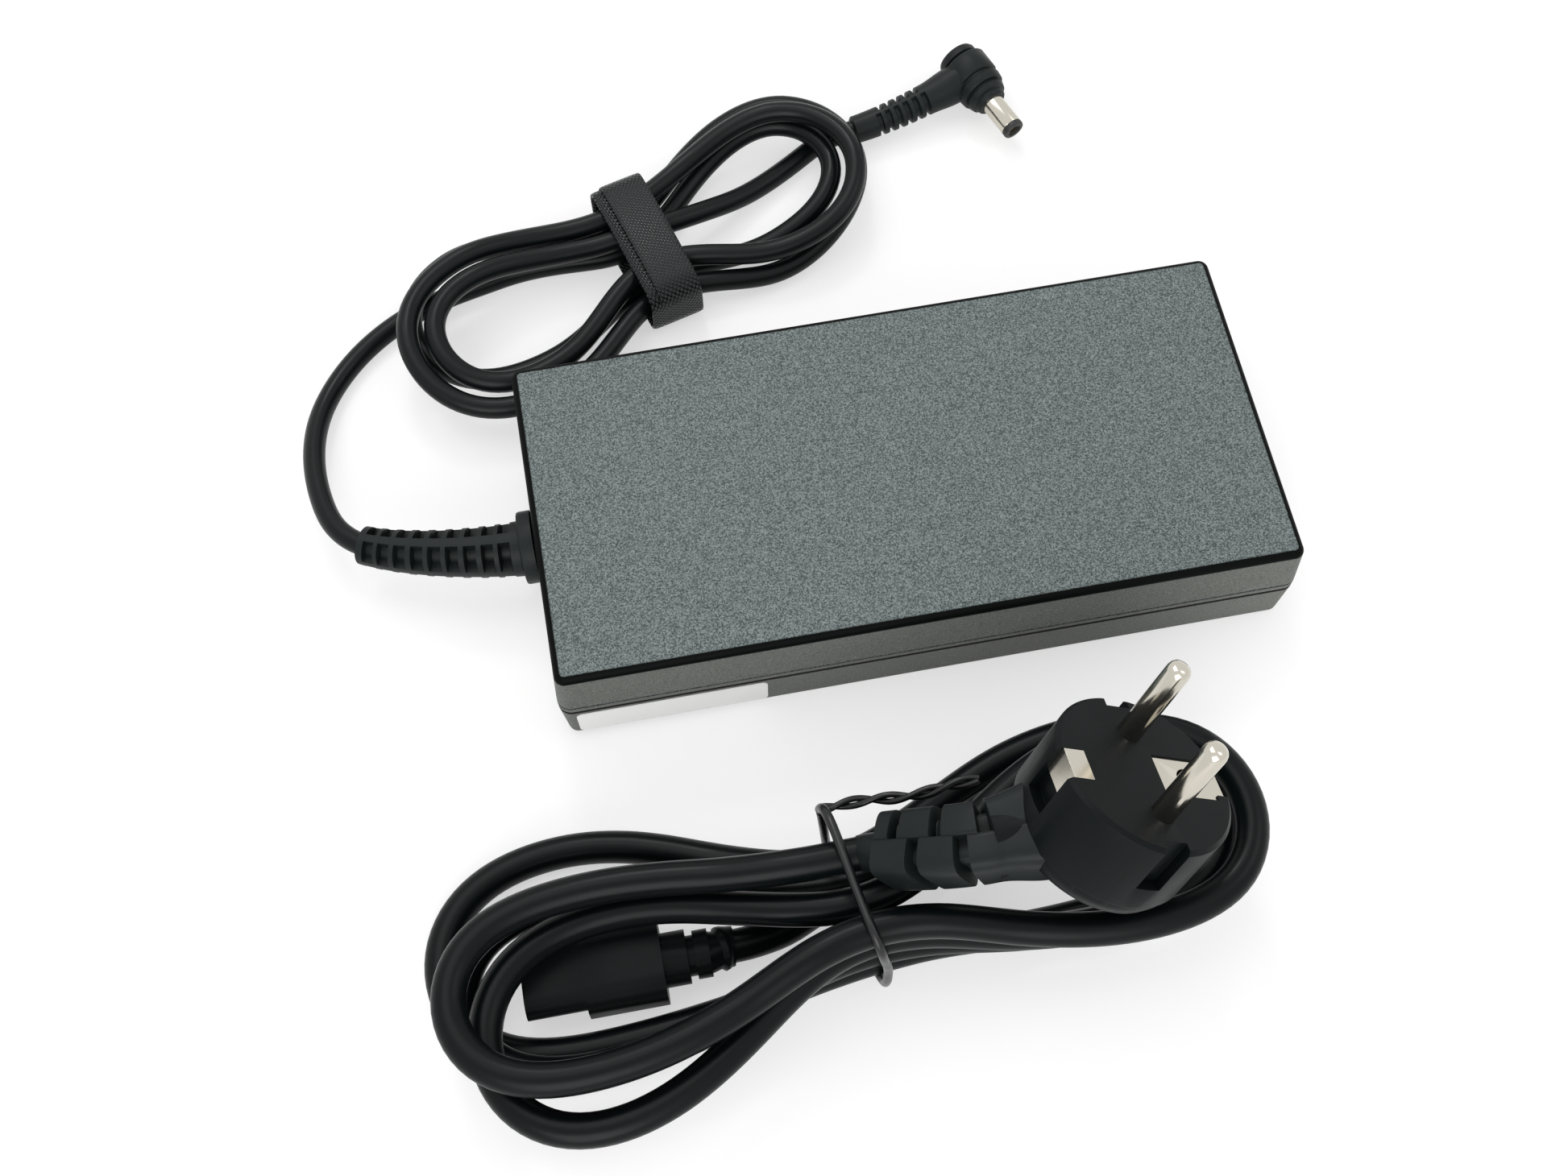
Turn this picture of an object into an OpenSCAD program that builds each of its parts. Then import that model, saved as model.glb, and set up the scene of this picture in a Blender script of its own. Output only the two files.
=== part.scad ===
// Laptop power adapter: a two-shell brick with its electronics, the low-voltage
// output cord tied in a hank, and the loose mains lead tied in a second hank.
// Frame: origin under the middle of the brick, +X along it, +Z up, millimetres.

/* [Housing] */
// Length of the brick
body_l = 160; // [150:1:180]
// Width of the brick
body_w = 78; // [74:1:90]
// Height of the brick
body_h = 28; // [27:0.5:34]
// Height of the joint between the two shells
split_h = 13; // [12:0.1:14]
// Wall thickness of both shells
wall = 2.2; // [1.6:0.1:2.6]
// Radius of the upright corners
corner_r = 3; // [2.5:0.1:5]
// Radius round the top edge
edge_r = 1.7; // [1:0.1:2]
// How far the base is drawn in from the joint, all round
base_inset = 1; // [0.5:0.1:2]
// How far the upper shell is drawn in at its top edge, all round
top_inset = 0.7; // [0.3:0.1:1]
// Height of the shadow gap along the joint
gap_h = 0.6; // [0.3:0.1:1]
// Depth of the shadow gap and of the line above it
gap_depth = 0.5; // [0.3:0.1:0.8]

/* [Label] */
// Length of the side label
label_l = 41; // [30:1:60]
// Height of the side label, measured up the sloping side
label_h = 10.4; // [6:0.1:11]
// Thickness of the side label
label_t = 0.2; // [0.1:0.05:0.4]
// Distance from the cord's end of the brick to the middle of the label
label_from_end = 23.8; // [20:0.1:40]

/* [Board] */
// Length of the circuit board
board_l = 128; // [120:1:132]
// Width of the circuit board
board_w = 64; // [60:1:66]
// Thickness of the circuit board
board_t = 1.6; // [1:0.1:2]
// Height of the posts under the board
post_h = 3.2; // [2:0.1:4]
// Thickness of the heat spreader over the parts
spreader_t = 0.8; // [0.5:0.1:1.2]
// Thickness of the insulating liner under the board
liner_t = 0.4; // [0.3:0.1:0.8]

/* [Mains inlet] */
// Radius of each lobe of the cloverleaf recess
inlet_lobe_r = 4.1; // [3.8:0.1:4.6]
// Distance between the two live pins
inlet_pin_gap = 8; // [7:0.1:8.6]
// Drop of the earth pin below the live pins
inlet_pin_drop = 5.4; // [4.5:0.1:6]
// Height of the live pins over the middle of the ports
live_rise = 1.4; // [1:0.1:2]
// Diameter of each inlet pin
inlet_pin_d = 2.4; // [2:0.1:2.8]
// Depth of the recess
inlet_depth = 14; // [12:0.5:16]
// Wall of the inlet round its recess
inlet_wall = 1.4; // [1:0.1:2]

/* [Output cord] */
// Diameter of the output cord
dc_d = 5; // [4:0.1:5]
// Diameter of the strain relief's flange
flange_d = 16; // [14:0.5:18]
// Thickness of the flange
flange_t = 3; // [2:0.1:4]
// Diameter of the strain relief next to the flange
boot_d = 12.2; // [10:0.1:13]
// Diameter of the strain relief at its tip
boot_tip_d = 8.6; // [8:0.1:10]
// Depth of the windows between its ribs
boot_window = 1.5; // [1:0.1:1.7]

/* [Output plug] */
// Outer diameter of the barrel
barrel_d = 5.5; // [5:0.1:6]
// Bore of the barrel's contact tube
barrel_bore_d = 2.5; // [2:0.1:2.6]
// Length of the barrel in front of the plug
barrel_l = 9.5; // [9:0.1:12]
// Length of the black insulating ring at the barrel's tip
barrel_tip_l = 1.4; // [0.8:0.1:2]
// Largest diameter of the plug's head
head_d = 13.4; // [12:0.1:13.6]
// Length of the plug's head along the barrel
head_l = 16.5; // [15:0.1:20]
// Distance from the plug's cord end to the barrel's axis
plug_reach = 33; // [30:0.5:36]

/* [Mains lead] */
// Diameter of the mains cord
mains_d = 6.8; // [6:0.1:6.8]
// Diameter of the mains plug's two pins
pin_d = 4.8; // [4.6:0.1:4.9]
// Length of the pins in front of the plug's face
pin_l = 19; // [18:0.1:20]
// Distance between the pins
pin_gap = 19; // [18.5:0.1:19.5]
// Diameter of the plug's face
face_d = 37; // [35:0.1:38]
// Depth of the round part that enters the socket
face_depth = 16.5; // [15:0.5:20]
// Diameter of the socket for an earth pin in the plug's face
earth_hole_d = 4.9; // [4.5:0.1:5.2]
// Distance of that socket from the middle of the face
earth_offset = 10; // [9:0.1:11]
// Width of the lead's cloverleaf connector
connector_w = 17; // [16:0.1:17.5]
// Height of the connector
connector_h = 13; // [12:0.1:13.5]
// Length of the connector's body
connector_l = 28; // [25:0.5:30]

/* [Ties] */
// Width of the hook-and-loop strap
strap_w = 13; // [10:0.5:16]
// Thickness of the strap
strap_t = 1.1; // [0.8:0.1:1.5]
// Diameter of the wire twist tie
twist_d = 2; // [1.5:0.1:2.2]

/* [Hidden] */

eps = 0.01;

// ---- Small helpers -------------------------------------------------------

function unit(v) = v / norm(v);
// 0 up to x = 0, 1 from x = 1 on, and a smooth rise between
function ease(x) = let (c = min(1, max(0, x))) c * c * (3 - 2 * c);
function sum(v, i = 0) = i < len(v) ? v[i] + sum(v, i + 1) : 0;

// Rounded rectangle, exact arcs
module plate(l, w, r) {
    square([l - 2 * r, w], center = true);
    square([l, w - 2 * r], center = true);
    for (x = [-1, 1], y = [-1, 1])
        translate([x * (l / 2 - r), y * (w / 2 - r)]) circle(r, $fn = 32);
}

module slab(l, w, r, z0, z1) translate([0, 0, z0]) linear_extrude(z1 - z0) plate(l, w, r);

// A box standing on z0, by its middle and size
module block(at, size) translate([at[0] - size[0] / 2, at[1] - size[1] / 2, at[2]]) cube(size);

// Puts children in the frame whose X, Y and Z point along ex, ey and ez at p
module frame_at(p, ex, ey, ez)
    multmatrix([[ex[0], ey[0], ez[0], p[0]], [ex[1], ey[1], ez[1], p[1]],
                [ex[2], ey[2], ez[2], p[2]], [0, 0, 0, 1]]) children();

// ---- Tubes swept along a path -------------------------------------------

// Direction of a path at point i; the ends may be given
function heading(path, i, first, last) =
    i == 0 && first != undef ? unit(first)
    : i == len(path) - 1 && last != undef ? unit(last)
    : unit(path[min(i + 1, len(path) - 1)] - path[max(i - 1, 0)]);

// Closed skin over rings of equal length: sides, then a fan over each end
function skin_faces(rings, sides) = concat(
    [for (i = [0:rings - 2], j = [0:sides - 1]) let (k = (j + 1) % sides)
        [i * sides + j, (i + 1) * sides + k, (i + 1) * sides + j]],
    [for (i = [0:rings - 2], j = [0:sides - 1]) let (k = (j + 1) % sides)
        [i * sides + j, i * sides + k, (i + 1) * sides + k]],
    [for (j = [1:sides - 2]) [0, j + 1, j]],
    [for (j = [1:sides - 2]) let (n = (rings - 1) * sides) [n, n + j, n + j + 1]]);

// One ring square to the heading t at p: radii r(j) at even angles
function ring_at(p, t, radii, turn = 0) =
    let (x = unit(cross(t, [0, 0, 1])), y = cross(x, t), n = len(radii))
    [for (j = [0:n - 1]) let (a = turn + 360 * j / n)
        p + radii[j] * (cos(a) * x + sin(a) * y)];

// Round tube with flat-bottomed sides, kept above the floor
module tube(path, d, sides, first, last)
    polyhedron([for (i = [0:len(path) - 1],
            q = ring_at(path[i], heading(path, i, first, last),
                        [for (j = [1:sides]) d / 2], sides == 6 ? 0 : 180 / sides))
            [q[0], q[1], max(0, q[2])]],
        skin_faces(len(path), sides), convexity = 10);

// ---- Hanks: loops drawn in at the waist, a formula in t turns ------------

// Distance of t from the nearest turn at which the spiral is widest, in turns
function inset(t, first, per) = let (x = t - first) abs(x - 2 * per * round(x / (2 * per)));
// Steps made by turn t, one at each reversal of the spiral, each over `span` turns
function steps(t, first, per, layers, span, lag) =
    sum([for (j = [0:layers - 2]) ease((t - first - j * per - lag) / span)]);

// Output cord: two layers, out in the lower one and in again in the upper one
dc_mid = [-46, 78.6];         // middle of the waist
dc_turn = 21.5;              // direction of the hank
dc_loops = 3.05;
dc_start = 121;              // angle at which the first loop starts
dc_first = 1.6;              // turn at which the spiral reverses
dc_reach = [62, 62];         // half length of the widest loop, left and right
dc_half = [23.8, 24.5];      // half width of the widest loop, left and right
dc_waist_far = [14.4, 14.4]; // half width of the waist in each layer, far side
dc_waist_near = 12.6;        // half width of the waist, near side
dc_neck = 22;                // half length of the drawn-in part
dc_pitch = dc_d + 1.4;       // distance between neighbouring turns
dc_layer = dc_d + 1;         // height of a layer
dc_lift = strap_t + 0.2;     // rise over the strap's lower run
dc_lay = [[3.8, 3.5], [-2.7, -2.5]];     // sideways place of each layer's lobes, left and right
dc_draw = [0, 0];            // how far each layer's left lobe is drawn in
// Humps over the cord's own two ends: u, v, half length, first and last turn
dc_humps = [[57, 7, -1, 9], [-53, 18, 0.3, 9]];

// Mains cord: four layers of one loop, out, in, out and in again
mains_mid = [-27, -87];
mains_turn = 6;
mains_loops = 3.992;
mains_start = 90;
mains_first = 1;
mains_reach = [86, 80.5];
mains_half = [25, 22.8];
mains_waist_far = [8, 8, -5.6, 10];      // the third layer crosses over in the middle
mains_waist_near = 16.6;
mains_neck = 34;
mains_pitch = mains_d + 0.6;
mains_layer = mains_d + 0.6;
mains_lift = twist_d + 0.4;
mains_lay = [[6.5, 0.8], [-1, -2.4], [-14, -5.6], [-5, -8.8]];
mains_draw = [0, 0, 7, -1];
mains_late = 0.05;           // how much past the waist the cord climbs, in turns

// Even spacing of the turn's points: more of them at the waist
function even(a) = a + 16 * sin(2 * a);
// Run along a stadium: -1 to 1, quick through the waist
round_end = 0.3;
function run(c) = c * sqrt(1 + round_end * round_end) / sqrt(c * c + round_end * round_end);

// A list read at layer s, with a straight line between its entries
function at_layer(v, s) = let (i = min(len(v) - 2, floor(s))) v[i] + (v[i + 1] - v[i]) * (s - i);

// Point of a hank at turn t, on the hank's own axes [u, v, z]
function hank_uvz(t, start, first, per, reach, half, pitch, far, near, neck,
        lay, draw, climb, late, slide, lag, base, under, layer) =
    let (a = even(start - 360 * t), k = inset(t, first, per), f = run(cos(a)),
         side = ease(f / 2 + 0.5), b = half * [1 - side, side] - pitch * k,
         s = steps(t, first, per, len(lay), slide, lag),
         out = reach * [1 - side, side] - pitch * k - at_layer(draw, s) * (1 - side),
         u = (out - b) * f + b * cos(a),
         waist = exp(-pow(u / neck, 2)),
         w = (sin(a) > 0 ? at_layer(far, s) : near) - pitch * k,
         laid = at_layer(lay, s) * [1 - side, side])
    [u, sin(a) * (b * (1 - waist) + w * waist) + laid * (1 - waist),
     base + under * ease((30 - abs(u)) / 20)
         + layer * steps(t, first, per, len(lay), climb, late - climb / 2)];

function place(mid, turn, q) = [mid[0] + q[0] * cos(turn) - q[1] * sin(turn),
                                mid[1] + q[0] * sin(turn) + q[1] * cos(turn), q[2]];

hump_flat = 12;              // flat top of a hump, half length
hump_end = 44;               // where a hump has come down again
function humps(q, t) = sum([for (h = dc_humps) t < h[2] || t > h[3] ? 0
    : dc_layer * ease((hump_end - norm([q[0] - h[0], q[1] - h[1]])) / (hump_end - hump_flat))]);

function dc_hank_point(t) =
    let (q = hank_uvz(t, dc_start, dc_first, 2, dc_reach, dc_half, dc_pitch, dc_waist_far,
             dc_waist_near, dc_neck, dc_lay, dc_draw, 0.24, 0, 0.24, -0.18, dc_d / 2, dc_lift, dc_layer))
    place(dc_mid, dc_turn, [q[0], q[1], q[2] + humps(q, t)]);

function mains_hank_point(t) =
    place(mains_mid, mains_turn, hank_uvz(t, mains_start, mains_first, 1, mains_reach,
        mains_half, mains_pitch, mains_waist_far, mains_waist_near, mains_neck, mains_lay,
        mains_draw, 0.34, mains_late, 0.3, 0.05, 0.43 * mains_d, mains_lift, mains_layer));

rings_per_loop = 32;
dc_hank = [for (i = [0:round(dc_loops * rings_per_loop)])
    dc_hank_point(i * dc_loops / round(dc_loops * rings_per_loop))];
mains_hank = [for (i = [0:round(mains_loops * rings_per_loop)])
    mains_hank_point(i * mains_loops / round(mains_loops * rings_per_loop))];

// Ends of a path carried on straight by one diameter
function lead_in(p, d) = concat([p[0] - d * unit(p[1] - p[0])], p,
    [p[len(p) - 1] + d * unit(p[len(p) - 1] - p[len(p) - 2])]);
dc_hank_path = lead_in(dc_hank, dc_d);
mains_hank_path = lead_in(mains_hank, mains_d);
function last(p) = p[len(p) - 1];
function last_heading(p) = unit(p[len(p) - 1] - p[len(p) - 2]);
function first_heading(p) = unit(p[1] - p[0]);

// Least distance between two stretches of a path that lie at least `apart` rings
// from each other, taken between four points on every stretch
function spread(p) = [for (i = [0:len(p) - 2], k = [0:3]) p[i] + (p[i + 1] - p[i]) * k / 4];
function least_gap(p, d, apart) = let (s = spread(p), n = len(s))
    min([for (i = [0:n - 1 - 4 * apart]) min([for (j = [i + 4 * apart:n - 1]) norm(s[i] - s[j])])]) - d;

echo(dc_hank_gap = least_gap(dc_hank_path, dc_d, 12));
echo(mains_hank_gap = least_gap(mains_hank_path, mains_d, 12));

// ---- Skins with a radius of their own at every point ---------------------

module skin(path, radii, first, last)
    polyhedron([for (i = [0:len(path) - 1],
            q = ring_at(path[i], heading(path, i, first, last), radii[i])) q],
        skin_faces(len(path), len(radii[0])), convexity = 10);

// Smooth bend from p0 to p1 with the end headings m0 and m1
function bend(p0, m0, p1, m1, n) = [for (i = [0:n]) let (s = i / n)
    (2 * s * s * s - 3 * s * s + 1) * p0 + (s * s * s - 2 * s * s + s) * m0
    + (3 * s * s - 2 * s * s * s) * p1 + (s * s * s - s * s) * m1];

// Rows of windows round a sleeve: four spines, ribs one ring wide
function sleeve_radii(n, r0, r1, depth, from, to) = [for (i = [0:n]) let (r = r0 + (r1 - r0) * i / n)
    [for (j = [0:23]) i > from && i < to && (i - from) % 4 > 0 && (i - from) % 4 < 3 && j % 6 > 1
        ? r - depth : r]];

// ---- Shells --------------------------------------------------------------

side_top = split_h - 0.4;                    // where the lower side turns upright
port_z = split_h + 1.8;                      // height of the output cord and of the inlet
lip_h = 2;
lip_t = 1.1;
inner_l = body_l - 2 * wall - 0.8;           // inside of both shells at the joint
inner_w = body_w - 2 * wall - 0.8;
floor_z = wall;
lid_z = body_h - wall - 0.4;
board_z = floor_z + liner_t + post_h;
deck = board_z + board_t;
room = lid_z - spreader_t - deck;            // height left for the parts on the board

// Parts on the board: places on it, sizes, and the gaps left under the heat spreader
spreader_margin = 5;                         // the spreader stops this far from the board's ends
spreader_hole_d = 4;
spreader_holes = [45, 24];
fuse_at = [48, 26];
fuse_size = [19, 5];                         // length with its caps, diameter
film_at = [43, -22];
film_size = [24, 11];
film_gap = 1.7;
choke_at = [43, 6];
choke_base = [22, 2];
choke_r = [5.5, 9.5];
choke_core_h = 7;
bridge_at = [29.2, 5];
bridge_size = [22, 3.6];
leg_l = 2.5;
case_size = [10, 4];                         // power package: width and thickness
case_leg_l = 3;
rectifier_t = 4.4;
case_gap = 0.6;                              // package to the shelf of its sink
boost_at = [11.5, -17];
boost_size = [25, 22];
transformer_at = [-21.5, -15];
transformer_size = [29, 26];
core_cap = 3.2;                              // thickness of a core's top and bottom
bulk_at = [-15, 20.5];
bulk_l = 38;
bulk_gap = 1.2;
sink_t = 1.6;
primary_at = [4, 2.4];
primary_l = 40;
shelf_w = 4;
transistors_x = [-13, 0, 13];                // from the middle of their sink
secondary_at = [-41.2, -2];
secondary_l = 50;
second_shelf_w = 4.8;
rectifiers_y = [-12, 6];
cans_x = -55.5;
cans_y = [-21, -8, 5, 18];
can_d = 10;
can_gap = 1.8;
disc_x = -24;
discs_y = [26, 19, 12];
disc_d = 9;
disc_t = 4;
lead_d = 2.2;
leads_x = -67;
leads_gap = [7.2, 3.2];                      // between the two leads, at the board and at the neck
exit_y = 0.8;
exit_d = 9;
inlet_w = 2 * inlet_lobe_r + inlet_pin_gap + 2 * inlet_wall;
inlet_h = inlet_pin_drop + 2 * inlet_lobe_r + 2 * inlet_wall;
inlet_z = port_z + live_rise - inlet_pin_drop / 2;      // middle of the inlet's case
board_x = -5;
posts = [[-64, -27], [-64, 27], [54, -27], [54, 29], [-5, -31 + 1.5], [-5, 30]];

function inset_at(z) = base_inset * (side_top - z) / side_top;

// Openings in the end walls: the cord's neck on the left, the inlet on the right
module end_openings() {
    translate([-body_l / 2 - 5, exit_y, port_z]) rotate([0, 90, 0])
        cylinder(d = exit_d, h = 12, $fn = 48);
    translate([body_l / 2 - 8, 0, inlet_z]) rotate([90, 0, 90]) linear_extrude(12) plate(inlet_w, inlet_h, 3);
}

module top_shell() color([0.26, 0.28, 0.29])
    difference() {
        hull() {
            slab(body_l, body_w, corner_r, split_h, split_h + 2.5);
            for (k = [0:3]) let (a = 30 * k, i = top_inset + edge_r * (1 - cos(a)))
                slab(body_l - 2 * i, body_w - 2 * i, corner_r - 0.5 * i,
                     body_h - edge_r - 0.2, body_h - edge_r * (1 - sin(a)));
        }
        slab(inner_l, inner_w, corner_r - 1, split_h - 1, lid_z);
        end_openings();
        // shadow gap at the joint and the fine line above it
        for (g = [[0, gap_h, gap_depth], [gap_h + 1.6, gap_h + 1.9, gap_depth - 0.1]])
            translate([0, 0, split_h + g[0]]) linear_extrude(g[1] - g[0]) difference() {
                plate(body_l + 4, body_w + 4, corner_r);
                plate(body_l - 2 * g[2], body_w - 2 * g[2], corner_r - g[2]);
            }
    }

module bottom_shell() color([0.2, 0.21, 0.22])
    difference() {
        union() {
            difference() {
                hull() {
                    slab(body_l - 2 * base_inset - 1, body_w - 2 * base_inset - 1, corner_r, 0, 1);
                    slab(body_l - 2 * inset_at(0.8), body_w - 2 * inset_at(0.8), corner_r, 0.8, 1);
                    slab(body_l, body_w, corner_r, side_top, split_h);
                }
                hull() {
                    slab(inner_l - 2 * base_inset, inner_w - 2 * base_inset, corner_r - 1,
                         floor_z, floor_z + 1);
                    slab(inner_l, inner_w, corner_r - 1, split_h - 1, split_h + 1);
                }
            }
            // lip that locates the upper shell
            difference() {
                slab(inner_l, inner_w, corner_r - 1, split_h - 1.2, split_h + lip_h);
                slab(inner_l - 2 * lip_t, inner_w - 2 * lip_t, corner_r - 1, split_h - 3, split_h + 5);
            }
            for (p = posts) translate([p[0], p[1], floor_z - 0.5])
                cylinder(d = 4, h = board_z - floor_z + 0.5, $fn = 32);
        }
        end_openings();
        // room in the lip for the collar of the strain relief and for the inlet's case
        translate([-inner_l / 2 - 0.01, exit_y - 8.5, port_z - 8]) cube([5, 17, 16]);
    }

module side_label() color([0.93, 0.93, 0.92]) {
    a = atan(base_inset / side_top);
    z = side_top / 2 + 0.3;
    frame_at([label_from_end - body_l / 2, -(body_w / 2 - inset_at(z)), z],
             [1, 0, 0], [0, -sin(a), cos(a)], [0, -cos(a), -sin(a)])
        linear_extrude(label_t) plate(label_l, label_h, 1.4);
}

// ---- Inlet ---------------------------------------------------------------

inlet_pins_yz = [[-inlet_pin_gap / 2, live_rise], [inlet_pin_gap / 2, live_rise],
    [0, live_rise - inlet_pin_drop]];

module clover(r, grow = 0) {
    for (p = inlet_pins_yz) translate(p) circle(r + grow, $fn = 48);
    translate([-inlet_pin_gap / 2, live_rise - r - grow]) square([inlet_pin_gap, 2 * (r + grow)]);
    translate([-3, live_rise - inlet_pin_drop]) square([6, inlet_pin_drop]);
}

module mains_inlet() color([0.1, 0.1, 0.1])
    translate([body_l / 2 - inlet_depth - 2, 0, port_z]) rotate([90, 0, 90]) difference() {
        translate([0, inlet_z - port_z]) {
            linear_extrude(inlet_depth + 2) plate(inlet_w, inlet_h, 3);
            // shoulder behind the end wall
            linear_extrude(inlet_depth - 4) plate(inlet_w + 3, inlet_h, 1);
        }
        translate([0, 0, 2]) linear_extrude(inlet_depth + 5) clover(inlet_lobe_r);
        for (p = inlet_pins_yz) translate([p[0], p[1], -5]) cylinder(d = inlet_pin_d, h = 12, $fn = 32);
    }

module inlet_pins() color([0.75, 0.74, 0.7]) {
    x0 = board_x + board_l / 2 - 1.4;
    for (p = inlet_pins_yz) {
        l = body_l / 2 - x0 - 4;
        translate([x0, p[0], port_z + p[1]]) rotate([0, 90, 0]) rotate_extrude($fn = 32)
            polygon([[0, 0], [inlet_pin_d / 2, 0], [inlet_pin_d / 2, l - 0.6], [inlet_pin_d / 2 - 0.5, l], [0, l]]);
        translate([x0 + 0.2, p[0], deck]) cylinder(d = 1.6, h = port_z + p[1] - deck, $fn = 24);
    }
}

// ---- Board and what stands on it -----------------------------------------

module circuit_board() color([0.16, 0.35, 0.2])
    translate([board_x, 0, 0]) slab(board_l, board_w, 1, board_z, deck);

module board_liner() color([0.85, 0.82, 0.7])
    difference() {
        slab(inner_l - 2 * base_inset - 2, inner_w - 2 * base_inset - 2, 2, floor_z, floor_z + liner_t);
        for (p = posts) translate([p[0], p[1], 0]) cylinder(d = 4.4, h = 8, $fn = 32);
    }

module heat_spreader() color([0.76, 0.77, 0.78])
    difference() {
        slab(board_l - 2 * spreader_margin, board_w - 2, 3, lid_z - spreader_t, lid_z);
        for (x = [-1, 0, 1], y = [-1, 1]) translate([x * spreader_holes[0], y * spreader_holes[1], 0])
            cylinder(d = spreader_hole_d, h = body_h, $fn = 24);
    }

module input_fuse() translate([fuse_at[0], fuse_at[1], deck]) {
    l = fuse_size[0];
    d = fuse_size[1];
    color([0.9, 0.89, 0.85]) translate([-l / 2 + 3.5, 0, d / 2 + 0.3]) rotate([0, 90, 0])
        cylinder(d = d, h = l - 7, $fn = 32);
    color([0.75, 0.74, 0.7]) for (k = [-1, 1]) {
        translate([k * (l / 2 - 2) - 2, 0, d / 2 + 0.3]) rotate([0, 90, 0])
            cylinder(d = d + 0.6, h = 4, $fn = 32);
        block([k * (l / 2 - 2), 0, 0], [2.6, 0.6 * d, 1]);
    }
}

module filter_capacitor() color([0.78, 0.62, 0.2])
    translate([film_at[0], film_at[1], 0]) slab(film_size[0], film_size[1], 1, deck, deck + room - film_gap);

module filter_choke() translate([choke_at[0], choke_at[1], deck]) {
    b = choke_base[1];
    color([0.1, 0.1, 0.1]) block([0, 0, 0], [choke_base[0], choke_base[0], b]);
    color([0.25, 0.27, 0.26]) rotate_extrude($fn = 64) translate([choke_r[0], b + 1.4])
        square([choke_r[1] - choke_r[0], choke_core_h]);
    color([0.72, 0.42, 0.22]) for (a = [0, 180]) rotate([0, 0, a - 60]) rotate_extrude(angle = 120, $fn = 64)
        translate([choke_r[0] - 1.1, b - 0.2]) square([choke_r[1] - choke_r[0] + 2.2, choke_core_h + 3]);
}

// Flat power package standing in the plane of its sink: body and three legs
module power_case(t) {
    top = room - sink_t - case_gap;
    color([0.08, 0.08, 0.08]) block([0, 0, case_leg_l], [case_size[0], t, top - case_leg_l]);
    color([0.75, 0.74, 0.7]) for (x = [-2.54, 0, 2.54]) block([x, 0, 0], [0.9, 0.7, case_leg_l]);
}

module bridge_rectifier() translate([bridge_at[0], bridge_at[1], deck]) rotate([0, 0, 90]) {
    color([0.08, 0.08, 0.08]) block([0, 0, leg_l], [bridge_size[0], bridge_size[1], room - leg_l]);
    color([0.75, 0.74, 0.7]) for (x = [-7.5, -2.5, 2.5, 7.5]) block([x, 0, 0], [1.2, 0.8, leg_l]);
}

// Wound part: a split core round a bobbin with its winding
module core(size, h) difference() {
    l = size[0];
    block([0, 0, 0], [l, size[1], h]);
    difference() {
        translate([0, 0, core_cap]) cylinder(d = 0.86 * l, h = h - 2 * core_cap, $fn = 64);
        cylinder(d = 0.42 * l, h = h, $fn = 48);
    }
    for (y = [-1, 1]) block([0, y * size[1] / 2, core_cap], [0.5 * l, size[1] * 0.62, h - 2 * core_cap]);
}

module winding(l, h) difference() {
    translate([0, 0, core_cap]) cylinder(d = 0.84 * l, h = h - 2 * core_cap, $fn = 64);
    cylinder(d = 0.42 * l, h = h, $fn = 48);
}

module boost_choke() translate([boost_at[0], boost_at[1], deck]) {
    color([0.2, 0.2, 0.21]) core(boost_size, room - 1);
    color([0.72, 0.42, 0.22]) winding(boost_size[0], room - 1);
}

module transformer_core() color([0.2, 0.2, 0.21])
    translate([transformer_at[0], transformer_at[1], deck]) core(transformer_size, room);

module transformer_winding() color([0.86, 0.76, 0.3])
    translate([transformer_at[0], transformer_at[1], deck]) winding(transformer_size[0], room);

// Large capacitor lying on its side, with the bead that holds its bung
module bulk_capacitor() color([0.1, 0.12, 0.2]) {
    r = (room - bulk_gap) / 2;
    translate([bulk_at[0], bulk_at[1], deck + r]) rotate([0, 90, 0])
        rotate_extrude($fn = 64) polygon([[0, 0.4], [r - 1.4, 0.4], [r - 1.1, 0], [r - 0.4, 0],
            [r, 0.5], [r, 2.4], [r - 0.5, 2.9], [r - 0.5, 3.5], [r, 4], [r, bulk_l - 0.5],
            [r - 0.5, bulk_l], [0, bulk_l]]);
}

module primary_heat_sink() color([0.76, 0.77, 0.78]) {
    block([primary_at[0], primary_at[1], deck], [primary_l, sink_t, room]);
    block([primary_at[0], primary_at[1] + sink_t / 2 + shelf_w / 2, deck + room - sink_t],
        [primary_l, shelf_w, sink_t]);
}

module power_transistors() for (x = transistors_x)
    translate([primary_at[0] + x, primary_at[1] + sink_t / 2 + case_size[1] / 2, deck])
        power_case(case_size[1]);

module secondary_heat_sink() color([0.76, 0.77, 0.78]) {
    block([secondary_at[0], secondary_at[1], deck], [sink_t, secondary_l, room]);
    block([secondary_at[0] - sink_t / 2 - second_shelf_w / 2, secondary_at[1], deck + room - sink_t],
        [second_shelf_w, secondary_l, sink_t]);
}

module output_rectifiers() for (y = rectifiers_y)
    translate([secondary_at[0] - sink_t / 2 - rectifier_t / 2, secondary_at[1] + y, deck])
        rotate([0, 0, 90]) power_case(rectifier_t);

module output_capacitors() for (y = cans_y) translate([cans_x, y, deck]) {
    r = can_d / 2;
    h = room - can_gap;
    color([0.12, 0.12, 0.14]) rotate_extrude($fn = 48) polygon([[0, 0], [r - 0.3, 0], [r, 0.4], [r, 1.6],
        [r - 0.4, 2], [r, 2.4], [r, h - 0.4], [r - 0.4, h], [0, h]]);
}

module suppression_capacitors() color([0.2, 0.4, 0.7]) for (y = discs_y)
    translate([disc_x, y + disc_t / 2, deck + disc_d / 2]) rotate([90, 0, 0])
        cylinder(d = disc_d, h = disc_t, $fn = 32);

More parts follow.
